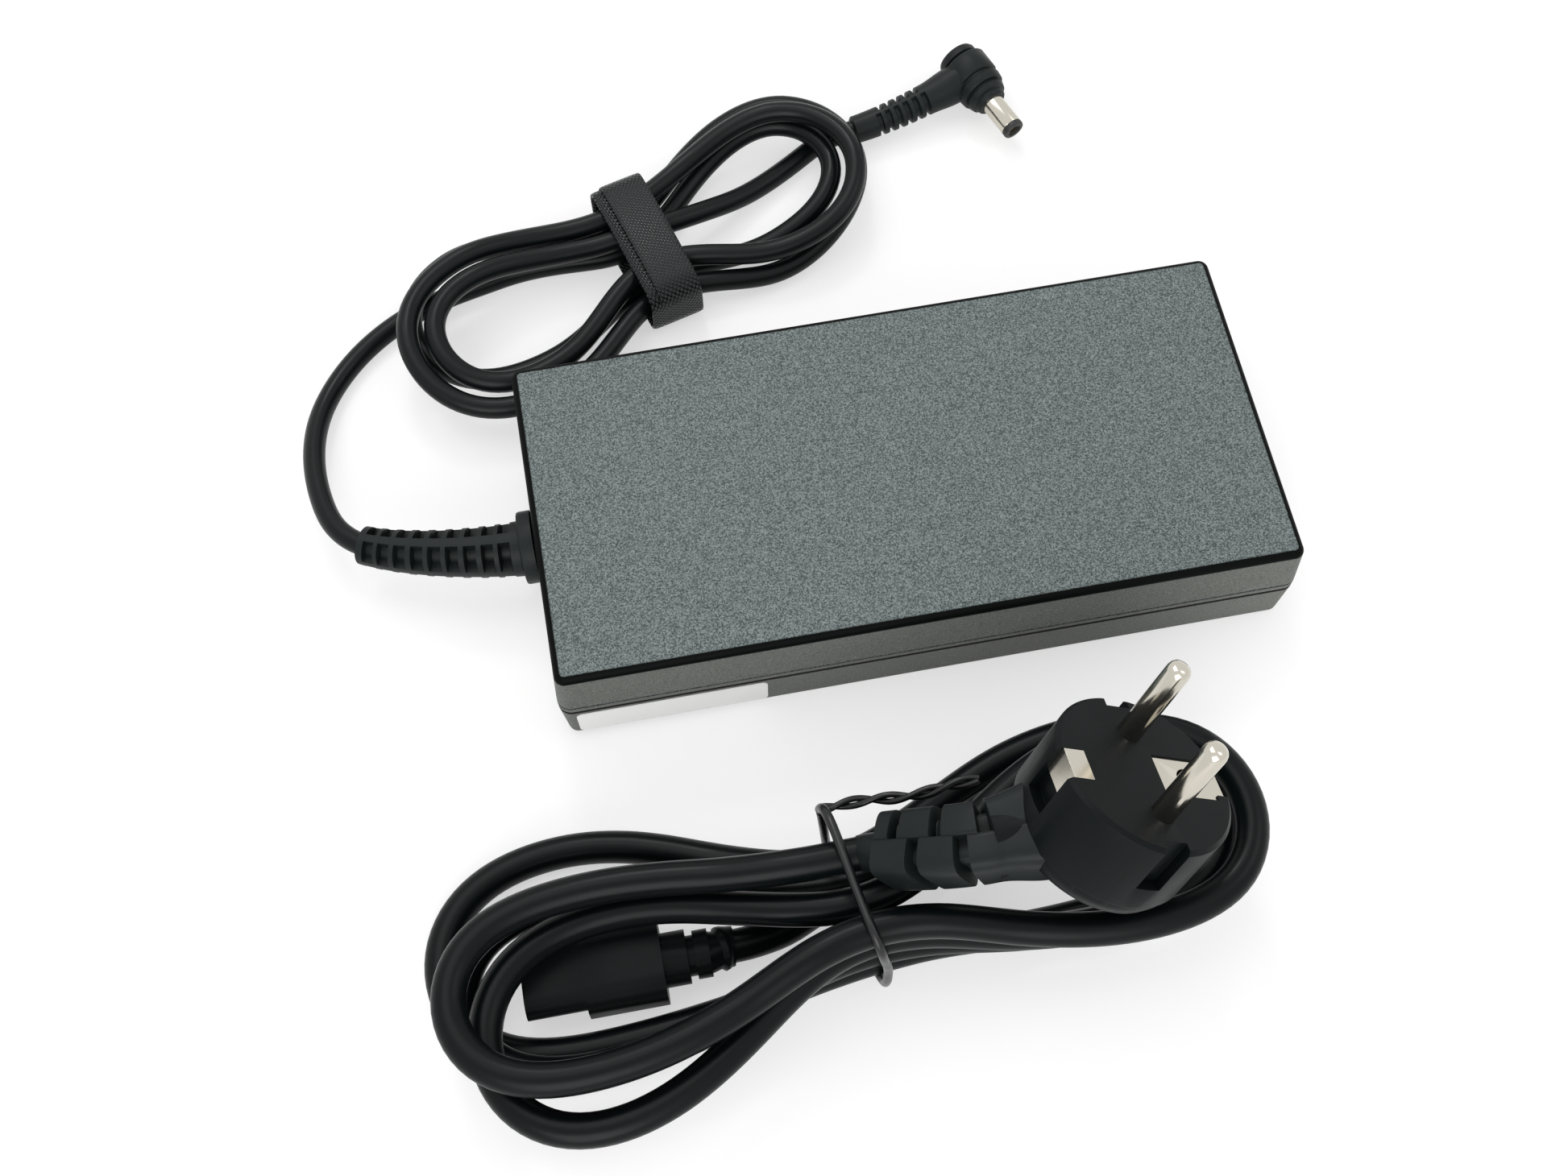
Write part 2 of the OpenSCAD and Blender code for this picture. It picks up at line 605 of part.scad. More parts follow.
// Two insulated leads from the board to the neck of the strain relief
neck_in = -inner_l / 2 + 2.4;                // inner face of the relief's collar
module output_leads() {
    for (k = [-1, 1]) color(k < 0 ? [0.1, 0.1, 0.1] : [0.75, 0.1, 0.08]) {
        a = [leads_x, exit_y + leads_gap[0] / 2 * k, deck];
        b = [neck_in, exit_y + leads_gap[1] / 2 * k, port_z];
        tube(bend(a, [0, 0, 9], b, [-9, 0, 0], 8), lead_d, 8, [0, 0.01, 1], [-1, 0, 0]);
    }
}

// ---- Output cord ---------------------------------------------------------

boot_base = [-body_l / 2 - flange_t, exit_y, port_z];
boot_end = [-117.3, 9.6, 12];
boot_out = unit([-0.88, 0.46, -0.08]);
boot_path = bend(boot_base, [-30, 1, 0], boot_end, 32 * boot_out, 37);

module dc_strain_relief() color([0.07, 0.07, 0.07]) {
    r = flange_d / 2;
    translate([0, exit_y, port_z]) rotate([0, 90, 0]) {
        translate([0, 0, -body_l / 2 - flange_t]) rotate_extrude($fn = 64)
            polygon([[0, 0], [r - 0.6, 0], [r, 0.6], [r, flange_t], [0, flange_t]]);
        translate([0, 0, -body_l / 2 - 1]) cylinder(d = exit_d, h = 6, $fn = 48);
        translate([0, 0, -inner_l / 2]) cylinder(d = 15, h = 2.4, $fn = 48);
    }
    translate([0.01, 0, 0]) skin(boot_path, sleeve_radii(37, boot_d / 2, boot_tip_d / 2, boot_window, 0, 37),
        [-1, 0, 0], boot_out);
}

dc_start_path = concat([boot_end], [[-123, 15.4, 10.9], [-126, 23.5, 9.4], [-127.4, 33, 7.6],
    [-127.2, 42, 5.8], [-125, 51.5, 3.8], [-120.4, 60, 2.7], [-114, 67, 2.5], [-105.5, 73, 2.5],
    [-96, 77.3, 2.5]], [dc_hank_path[0]]);

module dc_cord_start() color([0.05, 0.05, 0.05])
    tube(dc_start_path, dc_d, 10, boot_out, first_heading(dc_hank));

module dc_cord_hank() color([0.05, 0.05, 0.05])
    tube(dc_hank_path, dc_d, 6, first_heading(dc_hank), last_heading(dc_hank));

plug_start = [12, 107.3, 4.8];
plug_in = unit([0.99, 0.14, 0.05]);
dc_end_path = concat([last(dc_hank_path)], [for (q = [[0, 4.2, 9.8], [10, 2.9, 9], [20, 2.6, 7],
    [30, 3.2, 4.4], [40, 4.8, 2.9], [50, 6.8, 2.6], [58, 7.6, 3.2]]) place(dc_mid, dc_turn, q)],
    [plug_start]);

module dc_cord_end() color([0.05, 0.05, 0.05])
    tube(dc_end_path, dc_d, 10, last_heading(dc_hank), plug_in);

// Band round the waist of the hank, its end laid over the top
module hook_loop_strap() color([0.08, 0.08, 0.09]) {
    w = 35.6;
    h = 11.5;
    c = place(dc_mid, dc_turn, [1.8, -0.1, 0]);
    translate([c[0], c[1], strap_t + h / 2]) rotate([90, 0, dc_turn + 84]) translate([0, 0, -strap_w / 2]) {
        linear_extrude(strap_w) difference() {
            plate(w + 2 * strap_t, h + 2 * strap_t, 2.8 + strap_t);
            plate(w, h, 2.8);
        }
        translate([2, h / 2 + strap_t, 0.6]) linear_extrude(strap_w - 1.2) plate(21, 1.6, 0.7);
    }
}

// ---- Output plug ---------------------------------------------------------

plug_joint = [44, 116.5, 7.7];               // where the boot meets the barrel's axis
barrel_dir = unit([0.38, -0.92, -0.09]);
plug_end_in = unit(cross(cross(barrel_dir, [0.92, 0.38, 0.08]), barrel_dir));
plug_up = cross(barrel_dir, plug_end_in);
head_back = -6.5;
stem_step = 0.4;                             // a pin's hidden stem is this much thinner
head_front = head_back + head_l;

module on_plug() frame_at(plug_joint, plug_end_in, cross(barrel_dir, plug_end_in), barrel_dir) children();

module dc_plug_body() color([0.07, 0.07, 0.07]) {
    r = head_d / 2;
    on_plug() difference() {
        rotate_extrude($fn = 64) polygon([[0, head_back], [r - 2, head_back], [r - 1.1, head_back + 0.9],
            [r - 1.1, head_back + 2.2], [r - 1.7, head_back + 2.5], [r - 1.7, head_back + 3.1],
            [r, head_back + 3.5], [r, head_back + 9.2], [r - 0.7, head_back + 9.5],
            [r - 0.7, head_back + 10.1], [r - 0.2, head_back + 10.4],
            [r - 0.4, head_back + 12.4], [r - 1.3, head_back + 12.7], [r - 1.3, head_back + 13.2],
            [r - 1, head_back + 13.4], [r - 1.4, head_back + 14.8], [r - 2.2, head_back + 15],
            [r - 2.3, head_front - 0.3], [r - 2.6, head_front], [0, head_front]]);
        translate([0, 0, head_front - 3]) cylinder(d = barrel_d - stem_step, h = 8, $fn = 48);
    }
    skin(bend(plug_start, 30 * plug_in, plug_joint, 34 * plug_end_in, 37),
        [for (i = [0:37]) let (b = i > 12 && i < 31 && (i - 12) % 4 > 0 && (i - 12) % 4 < 3,
            r = i < 11 ? 3.4 + 0.03 * i : 3.9 + 0.012 * (i - 11))
            [for (j = [0:23]) b && j % 6 > 1 ? r - 1 : r]], plug_in, plug_end_in);
}

module dc_plug_barrel() color([0.8, 0.8, 0.78]) on_plug()
    translate([0, 0, head_front - 3]) difference() {
        union() {
            cylinder(d = barrel_d - stem_step, h = 4, $fn = 48);
            translate([0, 0, 3]) cylinder(d = barrel_d, h = barrel_l - barrel_tip_l, $fn = 48);
        }
        translate([0, 0, 1]) cylinder(d = barrel_d - 1.2, h = 20, $fn = 48);
    }

module dc_plug_insulator() color([0.06, 0.06, 0.06]) on_plug()
    difference() {
        union() {
            translate([0, 0, head_front - 2]) cylinder(d = barrel_d - 1.2, h = barrel_l + 1.9, $fn = 48);
            translate([0, 0, head_front + barrel_l - barrel_tip_l]) rotate_extrude($fn = 48)
                polygon([[0, 0], [barrel_d / 2, 0], [barrel_d / 2, barrel_tip_l - 0.4],
                    [barrel_d / 2 - 0.4, barrel_tip_l], [0, barrel_tip_l]]);
        }
        translate([0, 0, head_front - 2.01]) cylinder(d = barrel_bore_d + 0.8, h = 20, $fn = 48);
    }

module dc_plug_contact() color([0.85, 0.72, 0.35]) on_plug()
    translate([0, 0, head_front - 2]) difference() {
        cylinder(d = barrel_bore_d + 0.8, h = barrel_l + 1.4, $fn = 48);
        translate([0, 0, 1]) cylinder(d = barrel_bore_d, h = 20, $fn = 48);
    }

// ---- Mains lead ----------------------------------------------------------

face_at = [27.1, -86.8, 53.2];                 // middle of the plug's face
pin_dir = unit([0.473, 0.272, 0.838]);
pair_dir = unit(cross(cross(pin_dir, [-0.032, 0.956, -0.292]), pin_dir));
earth_dir = cross(pair_dir, pin_dir);
module on_face() frame_at(face_at, earth_dir, pair_dir, pin_dir) children();
function at_face(q) = face_at + q[0] * earth_dir + q[1] * pair_dir + q[2] * pin_dir;

module mains_cord_hank() color([0.05, 0.05, 0.05])
    tube(mains_hank_path, mains_d, 6, first_heading(mains_hank), last_heading(mains_hank));

nose_drop = inlet_pin_drop / 2 - live_rise;     // the nose's middle lies this far below the contacts' datum
connector_face = [-94.8, -92.7, connector_h / 2 + nose_drop];
relief_tip = [-52.5, -92, 5.4];
relief_out = unit([1, -0.02, -0.12]);
mains_start_path = [relief_tip, [-46.6, -91.4, 4.7], [-40.4, -89.9, 4.3], mains_hank_path[0]];
module mains_cord_start() color([0.05, 0.05, 0.05])
    tube(mains_start_path, mains_d, 10, relief_out, first_heading(mains_hank));

// Plug: round front with guide grooves, rounded back, and the moulded relief
back_depth = 22.5;
groove_l = 11;                                // guide grooves, from the face
earth_strip_l = 6;                           // earth strip on the side of the cord
exit_dir = unit(-earth_dir - 0.57 * pin_dir);
collar_d = 14.4;
collar_l = 14;
relief_root = at_face([-8, 0, -17]);         // inside the body, where the collar begins
relief_rings = 26;
notch_depth = 2.8;
module mains_plug_body() color([0.06, 0.06, 0.06]) {
    r = face_d / 2;
    on_face() difference() {
        rotate_extrude($fn = 96) polygon([[0, 0], [r - 0.8, 0], [r, -0.8], [r, -face_depth],
            [r - 0.6, -face_depth - 0.4], [r - 0.7, 4 - back_depth], [r - 1.6, 2 - back_depth],
            [r - 3.2, 0.7 - back_depth], [r - 5.6, -back_depth], [0, -back_depth]]);
        for (y = [-1, 1]) translate([-2.6, y > 0 ? r - 2.6 : -r - 3, -groove_l]) cube([5.2, 5.6, 30]);
        for (y = [-1, 1]) translate([0, y * pin_gap / 2, -9])
            cylinder(d = pin_d - stem_step, h = 20, $fn = 48);
        // seats of the earth strips, the plate round the earth socket and the socket itself
        for (x = [-1, 1]) translate([x > 0 ? r - 2.6 : -r - 3, -3.4, x > 0 ? -15 : -groove_l])
            cube([5.6, 6.8, 30]);
        translate([-r + 2.5, -3.4, -1]) cube([3.5, 6.8, 20]);
        translate([r - 15.5, -4.6, -1.2]) cube([12, 9.2, 20]);
        translate([r - 3.6, -3.4, -1.2]) cube([4, 6.8, 20]);
        translate([earth_offset, 0, -15]) cylinder(d = earth_hole_d + 1.2, h = 30, $fn = 48);
    }
    // collar that the cord's relief stands on
    frame_at(relief_root, pair_dir, cross(exit_dir, pair_dir), exit_dir)
        cylinder(d = collar_d, h = collar_l, $fn = 64);
}

// Blocky relief between the collar and the cord, notched from above and from below in turn
function relief_radius(i, a) = let (r = collar_d / 2 - 0.2 - 0.02 * i, m = (i + 2) % 6,
        tip = [6.3, 5.9, 5.5, 5.1, 4.7, 4.4, 4.1, 3.8], k = i - relief_rings + len(tip) - 1,
        notched = k < -1 && (m < 2 && sin(a) > -0.1 || (m == 3 || m == 4) && sin(a) < 0.1))
    k >= 0 ? tip[k] : notched ? r - notch_depth : r;

module mains_plug_relief() color([0.06, 0.06, 0.06])
    skin(bend(relief_root + collar_l * exit_dir, 24 * exit_dir, last(mains_hank_path),
            -10 * last_heading(mains_hank), relief_rings),
        [for (i = [0:relief_rings]) [for (j = [0:19]) relief_radius(i, 18 * j)]],
        exit_dir, -last_heading(mains_hank));

module mains_plug_pins() color([0.8, 0.8, 0.78]) on_face()
    for (y = [-1, 1]) translate([0, y * pin_gap / 2, -9]) rotate_extrude($fn = 48)
        polygon([[0, 0], [(pin_d - stem_step) / 2, 0], [(pin_d - stem_step) / 2, 9], [pin_d / 2, 9],
            [pin_d / 2, pin_l + 7.2], [pin_d / 2 - 0.3, pin_l + 8.1], [pin_d / 2 - 0.9, pin_l + 8.7],
            [pin_d / 2 - 1.6, pin_l + 9], [0, pin_l + 9]]);

module mains_plug_earth() color([0.8, 0.8, 0.78]) on_face() {
    r = face_d / 2;
    translate([-r + 1.6, -3.4, -earth_strip_l]) cube([1, 6.8, earth_strip_l]);
    translate([-r + 2.5, -3.4, -1]) cube([3.5, 6.8, 1]);
    translate([r - 2.6, -3.4, -15]) cube([1, 6.8, 14.6]);
    difference() {
        union() {
            translate([r - 15.5, -4.6, -1.2]) cube([12, 9.2, 0.8]);
            translate([r - 3.6, -3.4, -1.2]) cube([2, 6.8, 0.8]);
            translate([earth_offset, 0, -15]) cylinder(d = earth_hole_d + 1.2, h = 14.6, $fn = 48);
        }
        translate([earth_offset, 0, -14]) cylinder(d = earth_hole_d, h = 20, $fn = 48);
    }
}

// Connector: cloverleaf nose, rounded grip and stepped relief, along +X
module mains_connector_body() color([0.06, 0.06, 0.06]) {
    grip = connector_face - [0, 0, nose_drop];
    translate(connector_face) difference() {
        union() {
            rotate([90, 0, 90]) linear_extrude(14) clover(inlet_lobe_r - 0.4);
            translate([12, 0, -nose_drop]) rotate([90, 0, 90]) linear_extrude(connector_l - 12)
                plate(connector_w, connector_h, 5);
        }
        for (p = inlet_pins_yz) translate([-1, p[0], p[1]]) rotate([0, 90, 0])
            cylinder(d = 3.6, h = 12, $fn = 32);
    }
    translate(grip + [connector_l - 1, 0, 0]) rotate([0, 90, 0]) {
        cylinder(d = 11, h = 6, $fn = 48);
        cylinder(d = 8.2, h = 8.5, $fn = 48);
        translate([0, 0, 7.5]) cylinder(d = 9.8, h = 3, $fn = 48);
    }
    skin(bend(grip + [connector_l + 9, 0, 0], [8, 0, 0], relief_tip, 8 * relief_out, 6),
        [for (i = [0:6]) [for (j = [1:16]) [4.4, 4.1, 3.9, 4.6, 4.5, 4.2, 4.1][i]]], [1, 0, 0], relief_out);
}

module mains_connector_contacts() color([0.8, 0.8, 0.78])
    for (p = inlet_pins_yz) translate(connector_face + [0.6, p[0], p[1]]) rotate([0, 90, 0]) difference() {
        cylinder(d = 3.6, h = 10.4, $fn = 32);
        translate([0, 0, -1]) cylinder(d = inlet_pin_d, h = 10, $fn = 32);
    }

// Wire tie round the waist of the mains hank, with its twisted tail
tie = [[-2.6, 13.2, 27], [-2.4, 12, 30.6], [-2, 8.5, 32.2], [-1.8, 4, 32.4], [-1, -11, 32.3],
    [-0.6, -16.2, 31.4], [0.2, -18.2, 27], [1.4, -18.2, 18], [1.6, -18.2, 6], [1.3, -16.4, 1.8], [0.8, -12, 1],
    [0, 6, 1], [-1, 10.6, 1.8], [-1.6, 12.7, 6], [-2, 13.1, 15], [-2.6, 13.4, 25]];
knot = [-3, 14, 26.5];
tail = [[-2.6, 13.4, 26], [1, 13.2, 26.4], [4, 13, 26.7], [7.2, 12.4, 27.2], [11, 11.2, 28.4],
    [15, 10, 29.6], [18.5, 9.6, 30.6], [22, 9.3, 31.6], [25, 8.9, 32.4], [28, 8.4, 33]];
module twist_tie() color([0.06, 0.06, 0.06]) {
    tube([for (q = tie) place(mains_mid, mains_turn, q)], twist_d, 8);
    skin([for (q = tail) place(mains_mid, mains_turn, q)],
        [for (i = [0:len(tail) - 1]) [for (j = [1:8]) i % 2 ? 1.5 : 1.15]]);
    translate(place(mains_mid, mains_turn, knot)) sphere(2.1, $fn = 24);
}

// ---- Everything in one frame ---------------------------------------------
top_shell();
bottom_shell();
side_label();
mains_inlet();
inlet_pins();
circuit_board();
board_liner();
heat_spreader();
input_fuse();
filter_capacitor();
filter_choke();
bridge_rectifier();
boost_choke();
bulk_capacitor();
primary_heat_sink();
power_transistors();
transformer_core();
transformer_winding();
secondary_heat_sink();
output_rectifiers();
output_capacitors();
suppression_capacitors();
output_leads();
dc_strain_relief();
dc_cord_start();
dc_cord_hank();
dc_cord_end();
hook_loop_strap();
dc_plug_body();
dc_plug_barrel();
dc_plug_insulator();
dc_plug_contact();
mains_cord_hank();
mains_cord_start();
twist_tie();
mains_plug_body();
mains_plug_relief();
mains_plug_pins();
mains_plug_earth();
mains_connector_body();
mains_connector_contacts();
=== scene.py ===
# %% [markdown]
# # A laptop power adapter
# The imported model gives the frame: every piece below is placed in metres in that same frame,
# with the brick's middle at the origin, +X along it and +Z up. This cell loads it and keeps its
# pieces.

# %% Load the frame
import math
import bpy
import bmesh
import numpy as np
from mathutils import Matrix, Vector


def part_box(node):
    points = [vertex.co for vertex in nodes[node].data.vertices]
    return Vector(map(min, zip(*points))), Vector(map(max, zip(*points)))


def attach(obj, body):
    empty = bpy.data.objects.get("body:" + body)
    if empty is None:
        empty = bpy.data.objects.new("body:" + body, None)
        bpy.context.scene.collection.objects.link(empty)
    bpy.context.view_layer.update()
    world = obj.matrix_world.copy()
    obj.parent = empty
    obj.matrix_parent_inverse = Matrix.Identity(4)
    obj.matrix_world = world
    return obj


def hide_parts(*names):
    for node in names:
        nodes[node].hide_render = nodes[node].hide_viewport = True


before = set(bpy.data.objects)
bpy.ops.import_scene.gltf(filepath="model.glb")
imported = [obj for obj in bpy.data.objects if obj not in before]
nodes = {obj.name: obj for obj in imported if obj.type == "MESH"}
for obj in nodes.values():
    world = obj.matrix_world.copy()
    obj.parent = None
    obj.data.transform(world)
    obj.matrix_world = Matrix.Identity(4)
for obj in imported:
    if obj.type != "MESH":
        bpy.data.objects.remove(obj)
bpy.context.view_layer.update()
MM = 0.001


def placed(name, data):
    """A new object in the scene, for a mesh, a lamp or a camera."""
    obj = bpy.data.objects.new(name, data)
    bpy.context.scene.collection.objects.link(obj)
    return obj


print("frame:", len(nodes), "nodes")

# %% [markdown]
# ## Camera
# A product shot from above at about 64 degrees. The lens is a normal one for a full-frame
# sensor, 42.9 mm on 36 mm. The camera's three directions are written as a matrix, because
# that also gives the slight roll.

# %% Camera
def look(azimuth, elevation, roll):
    """Right, up and forward of a camera, from its turn about Z, its height angle and its roll."""
    a, e, r = np.radians([azimuth, elevation, roll])
    forward = np.array([-np.sin(a) * np.cos(e), np.cos(a) * np.cos(e), -np.sin(e)])
    right = np.array([np.cos(a), np.sin(a), 0.0])
    up = np.cross(right, forward)
    return np.cos(r) * right + np.sin(r) * up, np.cos(r) * up - np.sin(r) * right, forward


right, up, forward = look(azimuth=-8.69, elevation=64.37, roll=-1.89)
camera_at = np.array([-54.81, -191.29, 377.42])
camera = placed("camera", bpy.data.cameras.new("camera"))
bpy.context.scene.camera = camera
camera.data.sensor_width = 36
camera.data.lens = 42.88
place = np.eye(4)
place[:3, 0], place[:3, 1], place[:3, 2] = right, up, -forward
place[:3, 3] = camera_at * MM
camera.matrix_world = Matrix(place)
print("camera, mm above the table:", camera_at[2])

# %% [markdown]
# ## Small tools for meshes
# Nearly every piece is a grid of points worked out with numpy: rows go along the piece and
# columns go round it. One function turns such a grid into faces, and closes each end with a
# fan about one middle point, so that no piece is open.

# %% Grids to meshes
def grid_faces(rows, cols, start=0, wrap_rows=False):
    """Quads between neighbouring rows of a grid whose columns close on themselves."""
    i = np.arange(rows if wrap_rows else rows - 1)[:, None]
    j = np.arange(cols)[None, :]
    k, n = (j + 1) % cols, (i + 1) % rows
    quads = np.stack([i * cols + j, i * cols + k, n * cols + k, n * cols + j], -1)
    return (quads.reshape(-1, 4) + start).tolist()


def end_fan(ring, middle, flip):
    """Triangles from each edge of a ring to one middle point."""
    nxt = np.roll(ring, -1)
    a, b = (nxt, ring) if flip else (ring, nxt)
    return np.stack([a, b, np.full_like(ring, middle)], -1).tolist()


def skin(grids, wrap_rows=False):
    """Points and faces of one or more closed grids; each end is closed about its middle."""
    points, faces, start = [], [], 0
    for g in grids:
        rows, cols = g.shape[:2]
        points.append(g.reshape(-1, 3))
        faces += grid_faces(rows, cols, start, wrap_rows)
        if not wrap_rows:
            ends = np.array([g[0].mean(0), g[-1].mean(0)])
            points.append(ends)
            ring = np.arange(cols) + start
            faces += end_fan(ring, start + rows * cols, True)
            faces += end_fan(ring + (rows - 1) * cols, start + rows * cols + 1, False)
            start += 2
        start += rows * cols
    return np.concatenate(points), faces


def closed_mesh(name, points, faces):
    """A mesh from points in millimetres, with its faces turned outwards."""
    mesh = bpy.data.meshes.new(name)
    mesh.from_pydata((np.asarray(points) * MM).tolist(), [], faces)
    b = bmesh.new()
    b.from_mesh(mesh)
    bmesh.ops.recalc_face_normals(b, faces=b.faces)
    b.to_mesh(mesh)
    b.free()
    return mesh


def smooth(mesh, sharp):
    """Shades smoothly, apart from edges that bend by more than `sharp` degrees."""
    mesh.shade_smooth()
    mesh.set_sharp_from_angle(angle=math.radians(sharp))


def add_piece(name, points, faces, body, material, sharp=35, uv=None):
    """Makes a piece from points in millimetres, and lets it ride on a body."""
    mesh = closed_mesh(name, points, faces)
    if uv is not None:
        layer = mesh.uv_layers.new(name="UVMap")
        corner = np.empty(len(mesh.loops), np.int32)
        mesh.loops.foreach_get("vertex_index", corner)
        layer.data.foreach_set("uv", uv[corner].astype(np.float32).ravel())
    smooth(mesh, sharp)
    mesh.materials.append(material)
    piece = placed(name, mesh)
    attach(piece, body)
    print(name, len(mesh.polygons), "faces")
    return piece


def cut_out(piece, points, faces, sharp):
    """Takes a closed shape, given in millimetres, out of a piece."""
    cutter = placed("cutter", closed_mesh("cutter", points, faces))
    change = piece.modifiers.new("cut", "BOOLEAN")
    change.operation, change.solver, change.object = "DIFFERENCE", "EXACT", cutter
    ready = piece.evaluated_get(bpy.context.evaluated_depsgraph_get())
    done = bpy.data.meshes.new_from_object(ready)
    piece.modifiers.clear()
    piece.data = done
    bpy.data.objects.remove(cutter)
    smooth(done, sharp)
    print(piece.name, "cut,", len(done.polygons), "faces")


# %% [markdown]
# ## Curves and tubes
# A cord lies along a smooth curve through a few chosen points. A natural cubic spline is the
# curve a thin springy rod would take through them, so it suits a cord. The tube round it is
# a ring of points, square to the curve, carried along it.

# %% Splines, tubes and turned shapes
def smooth_route(route, step):
    """Natural cubic spline through the route's points, read off every `step` millimetres."""
    p = np.asarray(route, float)
    t = np.r_[0, np.cumsum(np.linalg.norm(np.diff(p, axis=0), axis=1))]
    h = np.diff(t)
    n = len(p)
    a = np.eye(n)
    rhs = np.zeros((n, 3))
    i = np.arange(1, n - 1)
    a[i, i - 1], a[i, i], a[i, i + 1] = h[:-1], 2 * (h[:-1] + h[1:]), h[1:]
    rhs[i] = 6 * (np.diff(p, axis=0)[1:] / h[1:, None] - np.diff(p, axis=0)[:-1] / h[:-1, None])
    m = np.linalg.solve(a, rhs)
    s = np.linspace(0, t[-1], max(4, int(round(t[-1] / step)) + 1))
    k = np.clip(np.searchsorted(t, s, side="right") - 1, 0, n - 2)
    u, v, d = (t[k + 1] - s)[:, None], (s - t[k])[:, None], h[k][:, None]
    curved = (m[k] * u**3 + m[k + 1] * v**3) / (6 * d)
    return curved + (p[k] / d - m[k] * d / 6) * u + (p[k + 1] / d - m[k + 1] * d / 6) * v


def directions(path):
    """Unit direction of a path at each of its points."""
    t = np.gradient(np.asarray(path, float), axis=0)
    return t / np.linalg.norm(t, axis=1, keepdims=True)


def tube(path, radius, sides=20, level=(0, 0, 1.0)):
    """Rings round a path. radius is a number, one per point, or one per point and side."""
    t = directions(path)
    x = np.cross(t, level)
    x /= np.linalg.norm(x, axis=1, keepdims=True)
    y = np.cross(x, t)
    a = np.linspace(0, 2 * np.pi, sides, endpoint=False)
    if np.ndim(radius) < 2:
        radius = np.asarray(radius, float).reshape(-1, 1)
    r = np.broadcast_to(radius, (len(path), sides))[..., None]
    round_it = np.cos(a)[:, None] * x[:, None] + np.sin(a)[:, None] * y[:, None]
    return np.asarray(path)[:, None] + r * round_it


def turned(profile, origin, axis, sides=72, side=(0, 0, 1.0)):
    """A profile of (radius, height) pairs turned round an axis, as on a lathe."""
    z = np.array(axis, float) / np.linalg.norm(axis)
    x = np.cross(side, z)
    x /= np.linalg.norm(x)
    y = np.cross(z, x)
    a = np.linspace(0, 2 * np.pi, sides, endpoint=False)
    r, h = np.asarray(profile, float).T
    round_it = np.cos(a)[:, None] * x + np.sin(a)[:, None] * y
    return np.asarray(origin) + h[:, None, None] * z + r[:, None, None] * round_it[None]


def ease(x):
    """0 up to x = 0, 1 from x = 1, smooth between."""
    x = np.clip(x, 0, 1)
    return x * x * (3 - 2 * x)


def unit(v):
    """The direction of v, with length 1."""
    return np.array(v, float) / np.linalg.norm(v)


def bend(p0, m0, p1, m1, n):
    """Hermite curve from p0 to p1 with the end headings m0 and m1, in n + 1 points."""
    s = np.linspace(0, 1, n + 1)[:, None]
    return ((2 * s**3 - 3 * s**2 + 1) * p0 + (s**3 - 2 * s**2 + s) * m0
            + (3 * s**2 - 2 * s**3) * p1 + (s**3 - s**2) * m1)


# %% [markdown]
# ## Materials
# Each finish starts from what it is. A colour is written as the sRGB value that a designer
# would give, and one function turns it to linear light. Another adds a node of any kind. A
# pattern's scale is worked out from a real size: a noise whose features are 0.5 mm across has a
# scale of 1000 / 0.5 per metre.

# %% Colour and node helpers
def linear(hex_colour):
    """sRGB hex to linear RGBA."""
    c = np.array([int(hex_colour[i:i + 2], 16) for i in (1, 3, 5)]) / 255
    c = np.where(c <= 0.04045, c / 12.92, ((c + 0.055) / 1.055) ** 2.4)
    return (*c.tolist(), 1.0)


def set_inputs(tree, node, inputs):
    """Joins each input to a socket, or fills it with a value."""
    for key, value in inputs.items():
        if isinstance(value, bpy.types.NodeSocket):
            tree.links.new(value, node.inputs[key])
        else:
            node.inputs[key].default_value = value


def add_node(tree, kind, inputs=None, **settings):
    """Adds a node with its settings and inputs. A Mix node in colour mode has its factor and two
    colours at inputs 0, 6 and 7, and the mixed colour at output 2."""
    node = tree.nodes.new(kind)
    for key, value in settings.items():
        setattr(node, key, value)
    set_inputs(tree, node, inputs or {})
    return node


def new_material(name):
    """An empty material and its tree, with a Principled shader joined to the output."""
    material = bpy.data.materials.new(name)
    material.use_nodes = True
    return material, material.node_tree, material.node_tree.nodes["Principled BSDF"]


def moulded(name, colour, light, rough, grain_mm, depth_mm, spot_mm=6, shine=0.5, wander=0.06):
    """A moulded or extruded plastic: two near colours in soft spots, a fine grain as bump,
    and a roughness that wanders a little, as handled plastic does."""
    material, tree, shader = new_material(name)
    at = add_node(tree, "ShaderNodeTexCoord").outputs["Object"]
    spots = add_node(tree, "ShaderNodeTexNoise", {
        "Vector": at, "Scale": 1000 / spot_mm, "Detail": 4.0}).outputs["Fac"]
    grain = add_node(tree, "ShaderNodeTexNoise", {
        "Vector": at, "Scale": 1000 / grain_mm, "Detail": 2.0}).outputs["Fac"]
    mix = add_node(tree, "ShaderNodeMix", {
        0: spots, 6: linear(colour), 7: linear(light)}, data_type="RGBA").outputs[2]
    gloss = add_node(tree, "ShaderNodeMapRange", {
        "Value": spots, "From Min": 0.3, "From Max": 0.7,
        "To Min": rough - wander, "To Max": rough + wander}).outputs["Result"]
    bump = add_node(tree, "ShaderNodeBump", {
        "Height": grain, "Distance": depth_mm * MM, "Strength": 1.0}).outputs["Normal"]
    set_inputs(tree, shader, {"Base Color": mix, "Roughness": gloss, "Normal": bump,
                              "Specular IOR Level": shine})
    return material


